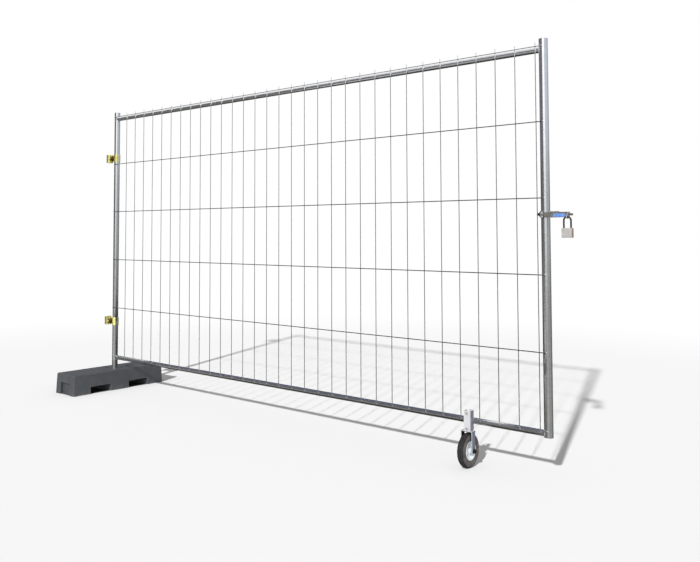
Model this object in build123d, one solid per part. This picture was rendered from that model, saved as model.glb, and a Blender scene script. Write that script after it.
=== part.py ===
from build123d import *
from math import cos, radians, sin
import os

# Temporary fence gate: a welded tube frame with a wire mesh, hung in a moulded foot block by two
# post couplers, carried at its free end by a small wheel and locked by a hasp and a padlock.
# All sizes are in millimetres. X runs along the closed gate from the hinge post to the latch post,
# Y runs from the front, where the mesh is, to the back, and Z is up from the ground.
# The origin is on the ground, on the hinge post's axis.

# Frame tubes
PANEL_WIDTH = 3500.0
POST_DIAMETER = 42.0
POST_WALL = 2.0
POST_TOP_HEIGHT = 2100.0
RAIL_DIAMETER = 30.0
RAIL_WALL = 1.5
BOTTOM_RAIL_HEIGHT = 232.0
TOP_RAIL_DROP = 51.4
LATCH_POST_OVERHANG = 3.0

# Wire mesh
VERTICAL_WIRE_DIAMETER = 4.0
HORIZONTAL_WIRE_DIAMETER = 5.0
VERTICAL_PITCH = 105.7
FIRST_WIRE_OFFSET = 148.5
HORIZONTAL_COUNT = 6
TOP_WIRE_RISE = 15.3
BOTTOM_WIRE_RISE = 12.9
WIRE_TIP_RISE = 20.0
WIRE_FOOT_RISE = 4.0
WIRE_END_OVERLAP = 4.0

# Foot block
FOOT_LENGTH = 800.0
FOOT_END_LEAN = 7.0
FOOT_WIDTH = 240.0
FOOT_SIDE_LEAN = 5.0
FOOT_HEIGHT = 145.0
FOOT_CORNER = 10.0
FOOT_TOP_EDGE = 7.0
FOOT_MOUTH_EDGE = 5.0
SOCKET_FLOOR = 50.0
TUNNEL_CENTRE = 168.0
TUNNEL_WIDTH = 140.0
TUNNEL_FLARE = 18.0
TUNNEL_HEIGHT = 50.0
ALCOVE_WIDTH = 122.0
ALCOVE_HEIGHT = 84.0
ALCOVE_DEPTH = 30.0
DIMPLE_CENTRE = 145.0
DIMPLE_DIAMETER = 38.0
DIMPLE_DEPTH = 8.0

# Post couplers
NEIGHBOUR_SPACING = 95.0
UPPER_COUPLER_DROP = 352.0
LOWER_COUPLER_HEIGHT = 504.0
COUPLER_HEIGHT = 60.0
COUPLER_WALL = 3.5
COUPLER_GAP = 8.0
COUPLER_MOUTH_ANGLE = 34.0
COUPLER_WAIST_DEPTH = 9.0
COUPLER_WAIST_LENGTH = 26.0
COUPLER_BOLT_DIAMETER = 16.0
COUPLER_HEAD_DIAMETER = 34.0
COUPLER_HEAD_HEIGHT = 7.0
COUPLER_WASHER_DIAMETER = 40.0
COUPLER_WASHER_THICKNESS = 3.0
COUPLER_NUT_WIDTH = 27.0
COUPLER_NUT_HEIGHT = 22.0
COUPLER_BOLT_TAIL = 4.0

# Wheel and its bracket
WHEEL_WIRE_FROM_LATCH = 5
BRACKET_WIRE_GAP = 20.0
BRACKET_WIDTH = 37.0
BRACKET_THICKNESS = 4.0
BRACKET_BOLT_OFFSET = 38.0
BRACKET_BOLT_DIAMETER = 8.0
BRACKET_HEAD_WIDTH = 13.0
BRACKET_HEAD_HEIGHT = 5.3
BRACKET_NUT_HEIGHT = 6.5
BRACKET_BOLT_TAIL = 4.0
BRACKET_END_MARGIN = 11.0
BRACKET_FLANGE = 24.0
CLAMP_STRAP_WIDTH = 22.0
WHEEL_SETBACK = 4.0
CROWN_DEPTH = 36.0
FORK_PLATE = 4.0
FORK_LEG_WIDTH = 30.0
FORK_GAP = 56.0
CROWN_CLEARANCE = 7.0
TYRE_WIDTH = 36.0
TYRE_SHOULDER = 9.0
TYRE_GROOVE_WIDTH = 3.0
TYRE_GROOVE_DEPTH = 2.5
TYRE_GROOVE_OFFSET = 6.0
RIM_DIAMETER = 88.0
RIM_SHEET = 2.5
RIM_LIP = 4.0
RIM_SEAT_WIDTH = 30.0
HUB_DIAMETER = 28.0
HUB_LENGTH = 44.0
BEARING_DIAMETER = 22.0
AXLE_DIAMETER = 12.0
AXLE_HEAD_WIDTH = 19.0
AXLE_HEAD_HEIGHT = 7.0
AXLE_NUT_HEIGHT = 10.0
AXLE_TAIL = 4.0
SPACER_DIAMETER = 18.0
RIVET_CIRCLE = 58.0
RIVET_DIAMETER = 6.0
RIVET_HEAD_DIAMETER = 11.0
RIVET_HEAD_HEIGHT = 2.0
RIVET_COUNT = 5

# Latch
LATCH_LOW = 1243.5
HASP_HEIGHT = 25.0
KEEPER_HEIGHT = 31.0
LATCH_BAR_THICKNESS = 4.0
LATCH_REACH = 121.0
HASP_POST_GAP = 2.0
HASP_END_MARGIN = 7.0
HASP_BRIDGE = 5.0
HINGE_OFFSET = 5.0
HINGE_POST_GAP = 1.0
HINGE_PIN_DIAMETER = 6.0
HINGE_BARREL_DIAMETER = 13.0
HINGE_KNUCKLE = 6.5
PIN_HEAD_DIAMETER = 10.0
PIN_HEAD_HEIGHT = 3.0
TONGUE_HEIGHT = 10.0
KEEPER_SHOULDER = 56.0
KEEPER_BAND_END_ANGLE = 264.0
STAPLE_HOLE_DIAMETER = 9.2
STAPLE_EDGE = 9.0
STAPLE_HOLE_FORWARD = 9.0
STAPLE_HOLE_RISE = 1.5
LATCH_BOLT_DIAMETER = 12.0
LATCH_BOLT_WIDTH = 19.0
LATCH_BOLT_HEAD = 7.5
LATCH_NUT_HEIGHT = 7.0
LATCH_BOLT_TAIL = 9.0
FACE_PLATE_WIDTH = 60.0
FACE_PLATE_HEIGHT = 16.0
FACE_PLATE_THICKNESS = 1.0
FACE_PLATE_START = 49.0
FACE_PLATE_RISE = 1.5

# Padlock
SHACKLE_DIAMETER = 8.0
SHACKLE_SPACING = 34.0
SHACKLE_RISE = 52.0
SHACKLE_SHORT_LEG = 9.0
SHACKLE_LONG_LEG = 28.0
CASE_WIDTH = 50.0
CASE_HEIGHT = 45.0
CASE_DEPTH = 22.0
CASE_EDGE = 3.0
CASE_BORE_EXTRA = 4.0
PLUG_DIAMETER = 12.0
PLUG_LENGTH = 18.0
KEYWAY_WIDTH = 1.6
KEYWAY_HEIGHT = 8.0
KEYWAY_DEPTH = 12.0

# Clearances
SOCKET_CLEARANCE = 0.3
RUNNING_CLEARANCE = 0.3
GRIP_CLEARANCE = 0.1
THREAD_CLEARANCE = 0.1
HINGE_CLEARANCE = 0.4
AXLE_CLEARANCE = 0.1
AXLE_PLAY = 0.3
PADLOCK_CLEARANCE = 0.3
STAPLE_SLOT_CLEARANCE = 1.5
SEAT_CLEARANCE = 0.4
WALL_TOLERANCE = 0.1
PAST = 5.0

# Places worked out from the sizes above
POST_RADIUS = POST_DIAMETER / 2
RAIL_RADIUS = RAIL_DIAMETER / 2
VERTICAL_WIRE_RADIUS = VERTICAL_WIRE_DIAMETER / 2
HORIZONTAL_WIRE_RADIUS = HORIZONTAL_WIRE_DIAMETER / 2
LATCH_X = PANEL_WIDTH - POST_DIAMETER
HORIZONTAL_WIRE_Y = -POST_RADIUS - HORIZONTAL_WIRE_RADIUS
VERTICAL_WIRE_Y = -POST_RADIUS + VERTICAL_WIRE_RADIUS
RAIL_Y = VERTICAL_WIRE_Y + VERTICAL_WIRE_RADIUS + RAIL_RADIUS
RAIL_BACK = RAIL_Y + RAIL_RADIUS
TOP_RAIL_HEIGHT = POST_TOP_HEIGHT - TOP_RAIL_DROP
TOP_WIRE_HEIGHT = TOP_RAIL_HEIGHT + TOP_WIRE_RISE
UPPER_COUPLER_HEIGHT = POST_TOP_HEIGHT - UPPER_COUPLER_DROP
FOOT_CENTRE_X = -NEIGHBOUR_SPACING / 2
FOOT_TOP_LENGTH = FOOT_LENGTH - 2 * FOOT_END_LEAN
FOOT_TOP_WIDTH = FOOT_WIDTH - 2 * FOOT_SIDE_LEAN

STAPLE_X = LATCH_X + LATCH_REACH
HASP_BACK = -POST_RADIUS - HASP_POST_GAP
HASP_FRONT = HASP_BACK - LATCH_BAR_THICKNESS
HASP_TOP = LATCH_LOW + HASP_HEIGHT
KEEPER_TOP = LATCH_LOW + KEEPER_HEIGHT
TONGUE_TOP = HASP_TOP - HASP_BRIDGE - STAPLE_SLOT_CLEARANCE
LATCH_BOLT_Z = LATCH_LOW + KEEPER_HEIGHT / 2
BARREL_RADIUS = HINGE_BARREL_DIAMETER / 2
BARREL_X = LATCH_X - HINGE_OFFSET
BARREL_Y = -POST_RADIUS - HINGE_POST_GAP - BARREL_RADIUS
STAPLE_Y = HASP_FRONT - STAPLE_HOLE_FORWARD
STAPLE_Z = LATCH_LOW + STAPLE_HOLE_RISE
CASE_TOP = STAPLE_Z - SHACKLE_RISE
CASE_BOTTOM = CASE_TOP - CASE_HEIGHT

LAST_WIRE_LIMIT = LATCH_X - POST_RADIUS - LATCH_BAR_THICKNESS - VERTICAL_WIRE_DIAMETER
WIRE_COUNT = int((LAST_WIRE_LIMIT - FIRST_WIRE_OFFSET) // VERTICAL_PITCH) + 1
WIRE_XS = [FIRST_WIRE_OFFSET + number * VERTICAL_PITCH for number in range(WIRE_COUNT)]
HORIZONTAL_PITCH = (TOP_WIRE_HEIGHT - BOTTOM_RAIL_HEIGHT - BOTTOM_WIRE_RISE) / (HORIZONTAL_COUNT - 1)
WIRE_ZS = [TOP_WIRE_HEIGHT - number * HORIZONTAL_PITCH for number in range(HORIZONTAL_COUNT)]

BRACKET_HIGH = BOTTOM_RAIL_HEIGHT + BRACKET_BOLT_OFFSET + BRACKET_END_MARGIN
BRACKET_LOW = BOTTOM_RAIL_HEIGHT - BRACKET_BOLT_OFFSET - BRACKET_END_MARGIN
BRACKET_LEFT = WIRE_XS[-WHEEL_WIRE_FROM_LATCH] + VERTICAL_WIRE_RADIUS + BRACKET_WIRE_GAP
CROWN_HIGH = BRACKET_LOW
CROWN_LOW = CROWN_HIGH - FORK_PLATE
TYRE_DIAMETER = CROWN_LOW - CROWN_CLEARANCE
TYRE_RADIUS = TYRE_DIAMETER / 2
WHEEL_X = BRACKET_LEFT + BRACKET_WIDTH / 2
STEM_BACK = HORIZONTAL_WIRE_Y - HORIZONTAL_WIRE_RADIUS
STEM_FRONT = STEM_BACK - BRACKET_THICKNESS
WHEEL_Y = STEM_BACK + WHEEL_SETBACK
WHEEL_Z = TYRE_RADIUS
LEG_OUTER = FORK_GAP / 2 + FORK_PLATE


def block(x_range, y_range, z_range):
    """A box given by its low and high limits along each axis."""
    spans = (x_range, y_range, z_range)
    middle = [(low + high) / 2 for low, high in spans]
    sides = [high - low for low, high in spans]
    return Pos(*middle) * Box(*sides)


def rod(start, end, radius):
    """A round bar from one point to another."""
    run = Vector(*end) - Vector(*start)
    return extrude(Plane(origin=start, z_dir=run) * Circle(radius), amount=run.length)


def tube(start, end, outer_radius, inner_radius):
    """A round tube from one point to another, open at both ends."""
    return rod(start, end, outer_radius) - rod(start, end, inner_radius)


def hexagon(start, end, across_flats):
    """A hexagonal bar from one point to another."""
    run = Vector(*end) - Vector(*start)
    outline = RegularPolygon(across_flats / 2, 6, major_radius=False)
    return extrude(Plane(origin=start, z_dir=run) * outline, amount=run.length)


def group(solids):
    """Several separate solids kept together under one name."""
    return Compound(children=list(solids))


def hinge_post():
    """The tube that turns in the foot's socket and in both couplers."""
    low = SOCKET_FLOOR + SEAT_CLEARANCE
    return tube((0, 0, low), (0, 0, POST_TOP_HEIGHT), POST_RADIUS, POST_RADIUS - POST_WALL)


def latch_post():
    """The free end's tube, cut off just under the bottom rail and drilled for the latch's bolt."""
    low = BOTTOM_RAIL_HEIGHT - RAIL_RADIUS - LATCH_POST_OVERHANG
    foot, top = (LATCH_X, 0, low), (LATCH_X, 0, POST_TOP_HEIGHT)
    post = tube(foot, top, POST_RADIUS, POST_RADIUS - POST_WALL)
    hole_radius = LATCH_BOLT_DIAMETER / 2 + THREAD_CLEARANCE
    return post - rod(on_latch_bolt(-POST_DIAMETER), on_latch_bolt(POST_DIAMETER), hole_radius)


def rail(height):
    """A horizontal tube whose ends are cut to saddle shapes that fit round the posts."""
    bar = tube((0, RAIL_Y, height), (LATCH_X, RAIL_Y, height), RAIL_RADIUS, RAIL_RADIUS - RAIL_WALL)
    for post_x in (0, LATCH_X):
        low, high = height - RAIL_DIAMETER, height + RAIL_DIAMETER
        bar = bar - rod((post_x, 0, low), (post_x, 0, high), POST_RADIUS)
    return bar


def vertical_wires():
    """The upright wires, welded to the fronts of both rails, with free tips at the top."""
    low = BOTTOM_RAIL_HEIGHT + WIRE_FOOT_RISE
    high = TOP_WIRE_HEIGHT + WIRE_TIP_RISE
    return group(
        rod((x, VERTICAL_WIRE_Y, low), (x, VERTICAL_WIRE_Y, high), VERTICAL_WIRE_RADIUS)
        for x in WIRE_XS
    )


def horizontal_wires():
    """The level wires, in front of the upright ones and welded to the fronts of both posts."""
    left, right = -WIRE_END_OVERLAP, LATCH_X + WIRE_END_OVERLAP
    y = HORIZONTAL_WIRE_Y
    return group(rod((left, y, z), (right, y, z), HORIZONTAL_WIRE_RADIUS) for z in WIRE_ZS)


def foot_block():
    """The moulded foot: a tapered block with two post sockets, two tunnels and two end alcoves."""
    lower = RectangleRounded(FOOT_WIDTH, FOOT_LENGTH, FOOT_CORNER)
    upper = RectangleRounded(FOOT_TOP_WIDTH, FOOT_TOP_LENGTH, FOOT_CORNER)
    body = loft([lower, Pos(0, 0, FOOT_HEIGHT) * upper])
    body = fillet(body.faces().sort_by(Axis.Z)[-1].edges(), FOOT_TOP_EDGE)
    for side in (-1, 1):
        body = body - foot_tunnel(side * TUNNEL_CENTRE)
        body = body - foot_alcove(side)
        body = body - foot_dimple(side * DIMPLE_CENTRE)
    body = fillet(foot_mouth_edges(body), FOOT_MOUTH_EDGE)
    body = Pos(FOOT_CENTRE_X, 0, 0) * body
    for post_x in (0, -NEIGHBOUR_SPACING):
        floor, mouth = (post_x, 0, SOCKET_FLOOR), (post_x, 0, FOOT_HEIGHT + PAST)
        body = body - rod(floor, mouth, POST_RADIUS + SOCKET_CLEARANCE)
    return body


def foot_tunnel(centre):
    """A passage right through the foot near the ground, flared towards both of its mouths."""
    half = FOOT_WIDTH / 2 + PAST
    mouth_width = TUNNEL_WIDTH + 2 * TUNNEL_FLARE
    sections = []
    for x, width in ((-half, mouth_width), (0, TUNNEL_WIDTH), (half, mouth_width)):
        plane = Plane(origin=(x, centre, 0), x_dir=(0, 1, 0), z_dir=(1, 0, 0))
        sections.append(plane * Rectangle(width, 2 * TUNNEL_HEIGHT))
    return loft(sections, ruled=True)


def foot_alcove(side):
    """The hand hold in one end of the foot, open to the end and to the ground."""
    outer = side * (FOOT_LENGTH / 2 + PAST)
    inner = side * (FOOT_LENGTH / 2 - ALCOVE_DEPTH)
    half = ALCOVE_WIDTH / 2
    return block((-half, half), sorted((inner, outer)), (-PAST, ALCOVE_HEIGHT))


def foot_mouth_edges(body):
    """The edges round the tunnels' mouths in the long sides and round the alcoves in the ends."""
    picked = []
    for edge in body.edges():
        middle, size = edge.center(), edge.bounding_box().size
        in_side = abs(middle.X) > FOOT_WIDTH / 4 and size.X < TUNNEL_FLARE
        in_end = abs(middle.Y) > FOOT_LENGTH / 2 - ALCOVE_DEPTH / 2 and size.Y < ALCOVE_DEPTH / 2
        by_tunnel = abs(abs(middle.Y) - TUNNEL_CENTRE) < TUNNEL_WIDTH / 2 + TUNNEL_FLARE
        by_alcove = abs(middle.X) < ALCOVE_WIDTH / 2 + WALL_TOLERANCE
        if in_side and by_tunnel and 0 < middle.Z < TUNNEL_HEIGHT + WALL_TOLERANCE:
            picked.append(edge)
        if in_end and by_alcove and 0 < middle.Z < ALCOVE_HEIGHT + WALL_TOLERANCE:
            picked.append(edge)
    return picked


def foot_dimple(centre):
    """A shallow round recess in the foot's top."""
    low = FOOT_HEIGHT - DIMPLE_DEPTH
    return rod((0, centre, low), (0, centre, FOOT_HEIGHT + PAST), DIMPLE_DIAMETER / 2)


def coupler_outline(side):
    """One half of a coupler seen from above: two hooks round the posts joined by a flat web."""
    bores = ((0, POST_RADIUS + RUNNING_CLEARANCE), (-NEIGHBOUR_SPACING, POST_RADIUS + GRIP_CLEARANCE))
    web_middle = side * (COUPLER_GAP + COUPLER_WALL) / 2
    outline = Pos(-NEIGHBOUR_SPACING / 2, web_middle) * Rectangle(NEIGHBOUR_SPACING, COUPLER_WALL)
    for x, radius in bores:
        outline = outline + Pos(x, 0) * Circle(radius + COUPLER_WALL)
    reach = NEIGHBOUR_SPACING + POST_DIAMETER
    far_side = -side * (reach - COUPLER_GAP) / 2
    outline = outline - Pos(-NEIGHBOUR_SPACING / 2, far_side) * Rectangle(2 * reach, reach)
    for x, radius in bores:
        outline = outline - Pos(x, 0) * Circle(radius)
    return outline


def coupler_mouth():
    """The two wedges cut from the front half, which leave each post showing at its outer side."""
    reach = 2 * POST_DIAMETER
    wedge_x = reach * cos(radians(COUPLER_MOUTH_ANGLE))
    wedge_y = -reach * sin(radians(COUPLER_MOUTH_ANGLE))
    right = Polygon((0, 0), (wedge_x, wedge_y), (reach, 0), align=None)
    left = Polygon((0, 0), (-reach, 0), (-wedge_x, wedge_y), align=None)
    return right + Pos(-NEIGHBOUR_SPACING, 0) * left


def coupler_waist(height):
    """The notches above and below the bolt that narrow both webs between the hooks."""
    middle = -NEIGHBOUR_SPACING / 2
    half = COUPLER_WAIST_LENGTH / 2
    notches = []
    for side in (-1, 1):
        edge = height + side * COUPLER_HEIGHT / 2
        floor, mouth = edge - side * COUPLER_WAIST_DEPTH, edge + side * COUPLER_WAIST_DEPTH
        wide = half + 2 * COUPLER_WAIST_DEPTH
        left = ((middle - wide, mouth), (middle - half, floor))
        right = ((middle + half, floor), (middle + wide, mouth))
        outline = Plane.XZ * Polygon(*left, *right, align=None)
        notches.append(extrude(outline, amount=POST_DIAMETER, both=True))
    return notches[0] + notches[1]


def coupler_parts(height):
    """A coupler's two halves with the bolt, washer and nut that draw them together."""
    bolt_x = -NEIGHBOUR_SPACING / 2
    web = COUPLER_GAP / 2 + COUPLER_WALL
    low = height - COUPLER_HEIGHT / 2
    bolt_radius = COUPLER_BOLT_DIAMETER / 2
    hole_radius = bolt_radius + THREAD_CLEARANCE

    def on_axis(y):
        return (bolt_x, y, height)

    gaps = coupler_waist(height) + rod(on_axis(-2 * web), on_axis(2 * web), hole_radius)
    front_outline = coupler_outline(-1) - coupler_mouth()
    front = extrude(Pos(0, 0, low) * front_outline, amount=COUPLER_HEIGHT) - gaps
    rear = extrude(Pos(0, 0, low) * coupler_outline(1), amount=COUPLER_HEIGHT) - gaps
    washer_face = -web - COUPLER_WASHER_THICKNESS
    nut_face = washer_face - COUPLER_NUT_HEIGHT
    washer = tube(on_axis(-web), on_axis(washer_face), COUPLER_WASHER_DIAMETER / 2, hole_radius)
    nut = hexagon(on_axis(washer_face), on_axis(nut_face), COUPLER_NUT_WIDTH)
    nut = nut - rod(on_axis(washer_face), on_axis(nut_face), hole_radius)
    bolt = rod(on_axis(web), on_axis(nut_face - COUPLER_BOLT_TAIL), bolt_radius)
    head = rod(on_axis(web), on_axis(web + COUPLER_HEAD_HEIGHT), COUPLER_HEAD_DIAMETER / 2)
    head = fillet(head.edges().group_by(Axis.Y)[-1], COUPLER_HEAD_HEIGHT / 2)
    return {"front": front, "rear": rear, "bolt": bolt + head, "washer": washer, "nut": nut}


def bracket_bolt_heights():
    """The heights of the two bolts that clamp the wheel's bracket over and under the rail."""
    return [BOTTOM_RAIL_HEIGHT + side * BRACKET_BOLT_OFFSET for side in (1, -1)]


def bolt_holes(y_range):
    """The two holes for the clamping bolts, from one Y to another."""
    radius = BRACKET_BOLT_DIAMETER / 2 + THREAD_CLEARANCE
    upper, lower = bracket_bolt_heights()
    holes = rod((WHEEL_X, y_range[0], upper), (WHEEL_X, y_range[1], upper), radius)
    return holes + rod((WHEEL_X, y_range[0], lower), (WHEEL_X, y_range[1], lower), radius)


def wheel_stem_plate():
    """The front half of the wheel's clamp: a channel whose flanges are notched to sit on the rail."""
    right = BRACKET_LEFT + BRACKET_WIDTH
    height = (CROWN_HIGH, BRACKET_HIGH)
    stem = block((BRACKET_LEFT, right), (STEM_FRONT, STEM_BACK), height)
    flange_y = (STEM_FRONT, STEM_BACK + BRACKET_FLANGE)
    stem = stem + block((BRACKET_LEFT, BRACKET_LEFT + BRACKET_THICKNESS), flange_y, height)
    stem = stem + block((right - BRACKET_THICKNESS, right), flange_y, height)
    left_end = (BRACKET_LEFT - PAST, RAIL_Y, BOTTOM_RAIL_HEIGHT)
    stem = stem - rod(left_end, (right + PAST, RAIL_Y, BOTTOM_RAIL_HEIGHT), RAIL_RADIUS)
    for z in WIRE_ZS:
        slot_z = (z - HORIZONTAL_WIRE_DIAMETER, z + HORIZONTAL_WIRE_DIAMETER)
        stem = stem - block((BRACKET_LEFT - PAST, right + PAST), (STEM_BACK, RAIL_Y), slot_z)
    return stem - bolt_holes((STEM_FRONT, STEM_BACK))


def wheel_clamp_plate():
    """The rear half of the wheel's clamp: a narrow strap drawn against the back of the rail."""
    half = CLAMP_STRAP_WIDTH / 2
    y_range = (RAIL_BACK, RAIL_BACK + BRACKET_THICKNESS)
    strap = block((WHEEL_X - half, WHEEL_X + half), y_range, (BRACKET_LOW, BRACKET_HIGH))
    return strap - bolt_holes(y_range)


def wheel_clamp_bolts():
    """The two bolts through both clamp plates, with their heads in front."""
    tail = RAIL_BACK + BRACKET_THICKNESS + BRACKET_NUT_HEIGHT + BRACKET_BOLT_TAIL
    bolts = []
    for z in bracket_bolt_heights():
        shank = rod((WHEEL_X, STEM_FRONT, z), (WHEEL_X, tail, z), BRACKET_BOLT_DIAMETER / 2)
        crest = (WHEEL_X, STEM_FRONT - BRACKET_HEAD_HEIGHT, z)
        bolts.append(shank + hexagon((WHEEL_X, STEM_FRONT, z), crest, BRACKET_HEAD_WIDTH))
    return group(bolts)


def wheel_clamp_nuts():
    """The nuts behind the rear clamp plate."""
    face = RAIL_BACK + BRACKET_THICKNESS
    nuts = []
    for z in bracket_bolt_heights():
        start, end = (WHEEL_X, face, z), (WHEEL_X, face + BRACKET_NUT_HEIGHT, z)
        hole = rod(start, end, BRACKET_BOLT_DIAMETER / 2 + THREAD_CLEARANCE)
        nuts.append(hexagon(start, end, BRACKET_HEAD_WIDTH) - hole)
    return group(nuts)


def on_axle(x):
    """A point on the axle's line, so far along X from the wheel's middle plane."""
    return (WHEEL_X + x, WHEEL_Y, WHEEL_Z)


def wheel_fork():
    """The fork: a crown plate over the tyre and two legs with rounded ends round the axle."""
    crown_y = (WHEEL_Y - CROWN_DEPTH / 2, WHEEL_Y + CROWN_DEPTH / 2)
    fork = block((WHEEL_X - LEG_OUTER, WHEEL_X + LEG_OUTER), crown_y, (CROWN_LOW, CROWN_HIGH))
    leg_y = (WHEEL_Y - FORK_LEG_WIDTH / 2, WHEEL_Y + FORK_LEG_WIDTH / 2)
    for inner, outer in ((FORK_GAP / 2, LEG_OUTER), (-LEG_OUTER, -FORK_GAP / 2)):
        leg = block((WHEEL_X + inner, WHEEL_X + outer), leg_y, (WHEEL_Z, CROWN_LOW))
        leg = leg + rod(on_axle(inner), on_axle(outer), FORK_LEG_WIDTH / 2)
        fork = fork + leg
    hole_radius = AXLE_DIAMETER / 2 + THREAD_CLEARANCE
    return fork - rod(on_axle(-LEG_OUTER - PAST), on_axle(LEG_OUTER + PAST), hole_radius)


def wheel_axle():
    """The axle bolt, with its head on the hinge side of the fork."""
    tail = LEG_OUTER + AXLE_NUT_HEIGHT + AXLE_TAIL
    shank = rod(on_axle(-LEG_OUTER), on_axle(tail), AXLE_DIAMETER / 2)
    return shank + hexagon(on_axle(-LEG_OUTER - AXLE_HEAD_HEIGHT), on_axle(-LEG_OUTER), AXLE_HEAD_WIDTH)


def wheel_axle_nut():
    """The nut on the axle's other end."""
    start, end = on_axle(LEG_OUTER), on_axle(LEG_OUTER + AXLE_NUT_HEIGHT)
    return hexagon(start, end, AXLE_HEAD_WIDTH) - rod(start, end, AXLE_DIAMETER / 2 + THREAD_CLEARANCE)


def axle_spacers():
    """The two short sleeves that keep the wheel in the middle of the fork."""
    inner, outer = HUB_LENGTH / 2 + AXLE_PLAY, FORK_GAP / 2
    bore = AXLE_DIAMETER / 2 + THREAD_CLEARANCE
    radius = SPACER_DIAMETER / 2
    return group(tube(on_axle(s * inner), on_axle(s * outer), radius, bore) for s in (-1, 1))


def turned(points):
    """A ring turned about the axle from an outline of (distance along the axle, radius) points."""
    outline = Polyline(*[(x, radius) for x, radius in points], close=True)
    plane = Plane(origin=on_axle(0), x_dir=(1, 0, 0), z_dir=(0, -1, 0))
    return revolve(plane * make_face(outline), axis=Axis(on_axle(0), (1, 0, 0)))


def tyre():
    """The rubber tyre: upright beads in the rim, bulging walls and a grooved tread."""
    bead = RIM_DIAMETER / 2
    half_bead, half = RIM_SEAT_WIDTH / 2, TYRE_WIDTH / 2
    lip_top = bead + RIM_LIP + HINGE_CLEARANCE
    bulge = lip_top + (half - half_bead)
    shoulder = TYRE_RADIUS - TYRE_SHOULDER
    right = [(half_bead, bead), (half_bead, lip_top), (half, bulge), (half, shoulder)]
    right = right + [(half - TYRE_SHOULDER, TYRE_RADIUS)]
    left = [(-x, radius) for x, radius in reversed(right)]
    ring = turned(right + left)
    for x in (-TYRE_GROOVE_OFFSET, TYRE_GROOVE_OFFSET):
        low, high = x - TYRE_GROOVE_WIDTH / 2, x + TYRE_GROOVE_WIDTH / 2
        floor, past = TYRE_RADIUS - TYRE_GROOVE_DEPTH, TYRE_RADIUS + PAST
        ring = ring - turned([(low, floor), (high, floor), (high, past), (low, past)])
    return ring


def rim_half(side):
    """One of the two pressed discs that are riveted back to back: web, tyre seat and lip."""
    seat, inside = RIM_DIAMETER / 2, RIM_DIAMETER / 2 - RIM_SHEET
    edge = RIM_SEAT_WIDTH / 2
    outline = [(0, HUB_DIAMETER / 2), (RIM_SHEET, HUB_DIAMETER / 2), (RIM_SHEET, inside)]
    outline = outline + [(edge + RIM_SHEET, inside), (edge + RIM_SHEET, seat + RIM_LIP)]
    outline = outline + [(edge, seat + RIM_LIP), (edge, seat), (0, seat)]
    disc = turned([(side * x, radius) for x, radius in outline])
    for start, end in rivet_lines(0, side * RIM_SHEET):
        disc = disc - rod(start, end, RIVET_DIAMETER / 2)
    return disc


def rivet_lines(start_x, end_x):
    """The end points of lines along X through every rivet's place."""
    lines = []
    for number in range(RIVET_COUNT):
        angle = radians(360 * number / RIVET_COUNT)
        y = WHEEL_Y + RIVET_CIRCLE / 2 * sin(angle)
        z = WHEEL_Z + RIVET_CIRCLE / 2 * cos(angle)
        lines.append(((WHEEL_X + start_x, y, z), (WHEEL_X + end_x, y, z)))
    return lines


def rim_rivets():
    """The rivets that hold the two rim halves together."""
    shanks = rivet_lines(-RIM_SHEET, RIM_SHEET)
    left_heads = rivet_lines(-RIM_SHEET - RIVET_HEAD_HEIGHT, -RIM_SHEET)
    right_heads = rivet_lines(RIM_SHEET, RIM_SHEET + RIVET_HEAD_HEIGHT)
    rivets = []
    for shank, left, right in zip(shanks, left_heads, right_heads):
        heads = rod(*left, RIVET_HEAD_DIAMETER / 2) + rod(*right, RIVET_HEAD_DIAMETER / 2)
        rivets.append(rod(*shank, RIVET_DIAMETER / 2) + heads)
    return group(rivets)


def wheel_hub():
    """The tube in the wheel's middle that holds the bearing."""
    half = HUB_LENGTH / 2
    return tube(on_axle(-half), on_axle(half), HUB_DIAMETER / 2, BEARING_DIAMETER / 2)


def wheel_bearing():
    """The plain bearing that turns on the axle."""
    half = HUB_LENGTH / 2
    bore = AXLE_DIAMETER / 2 + AXLE_CLEARANCE
    return tube(on_axle(-half), on_axle(half), BEARING_DIAMETER / 2, bore)


def barrel_rod(low, high, radius):
    """A round bar on the latch's hinge line."""
    return rod((BARREL_X, BARREL_Y, low), (BARREL_X, BARREL_Y, high), radius)


def on_latch_bolt(x):
    """A point on the line of the latch's bolt, so far along X from the latch post's axis."""
    return (LATCH_X + x, 0, LATCH_BOLT_Z)


def knuckle_spans():
    """The heights of the keeper's lower knuckle, the hasp's knuckle and the keeper's upper one."""
    low, high = LATCH_LOW + HINGE_KNUCKLE, HASP_TOP - HINGE_KNUCKLE
    return (LATCH_LOW, low), (low, high), (high, HASP_TOP)


def keeper_band():
    """The strap's bend round the latch post, with a flat seat for the nut, from the back to the hinge."""
    outer, far = POST_RADIUS + LATCH_BAR_THICKNESS, 2 * POST_DIAMETER
    end = (far * cos(radians(KEEPER_BAND_END_ANGLE)), far * sin(radians(KEEPER_BAND_END_ANGLE)))
    seat = Pos(-outer / 2, 0) * Rectangle(outer, LATCH_BOLT_WIDTH)
    outline = Circle(outer) + seat - Circle(POST_RADIUS)
    outline = outline - Polygon((0, 0), end, (far, -far), (far, far), (0, far), align=None)
    return extrude(Pos(LATCH_X, 0, LATCH_LOW) * outline, amount=KEEPER_HEIGHT)


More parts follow.
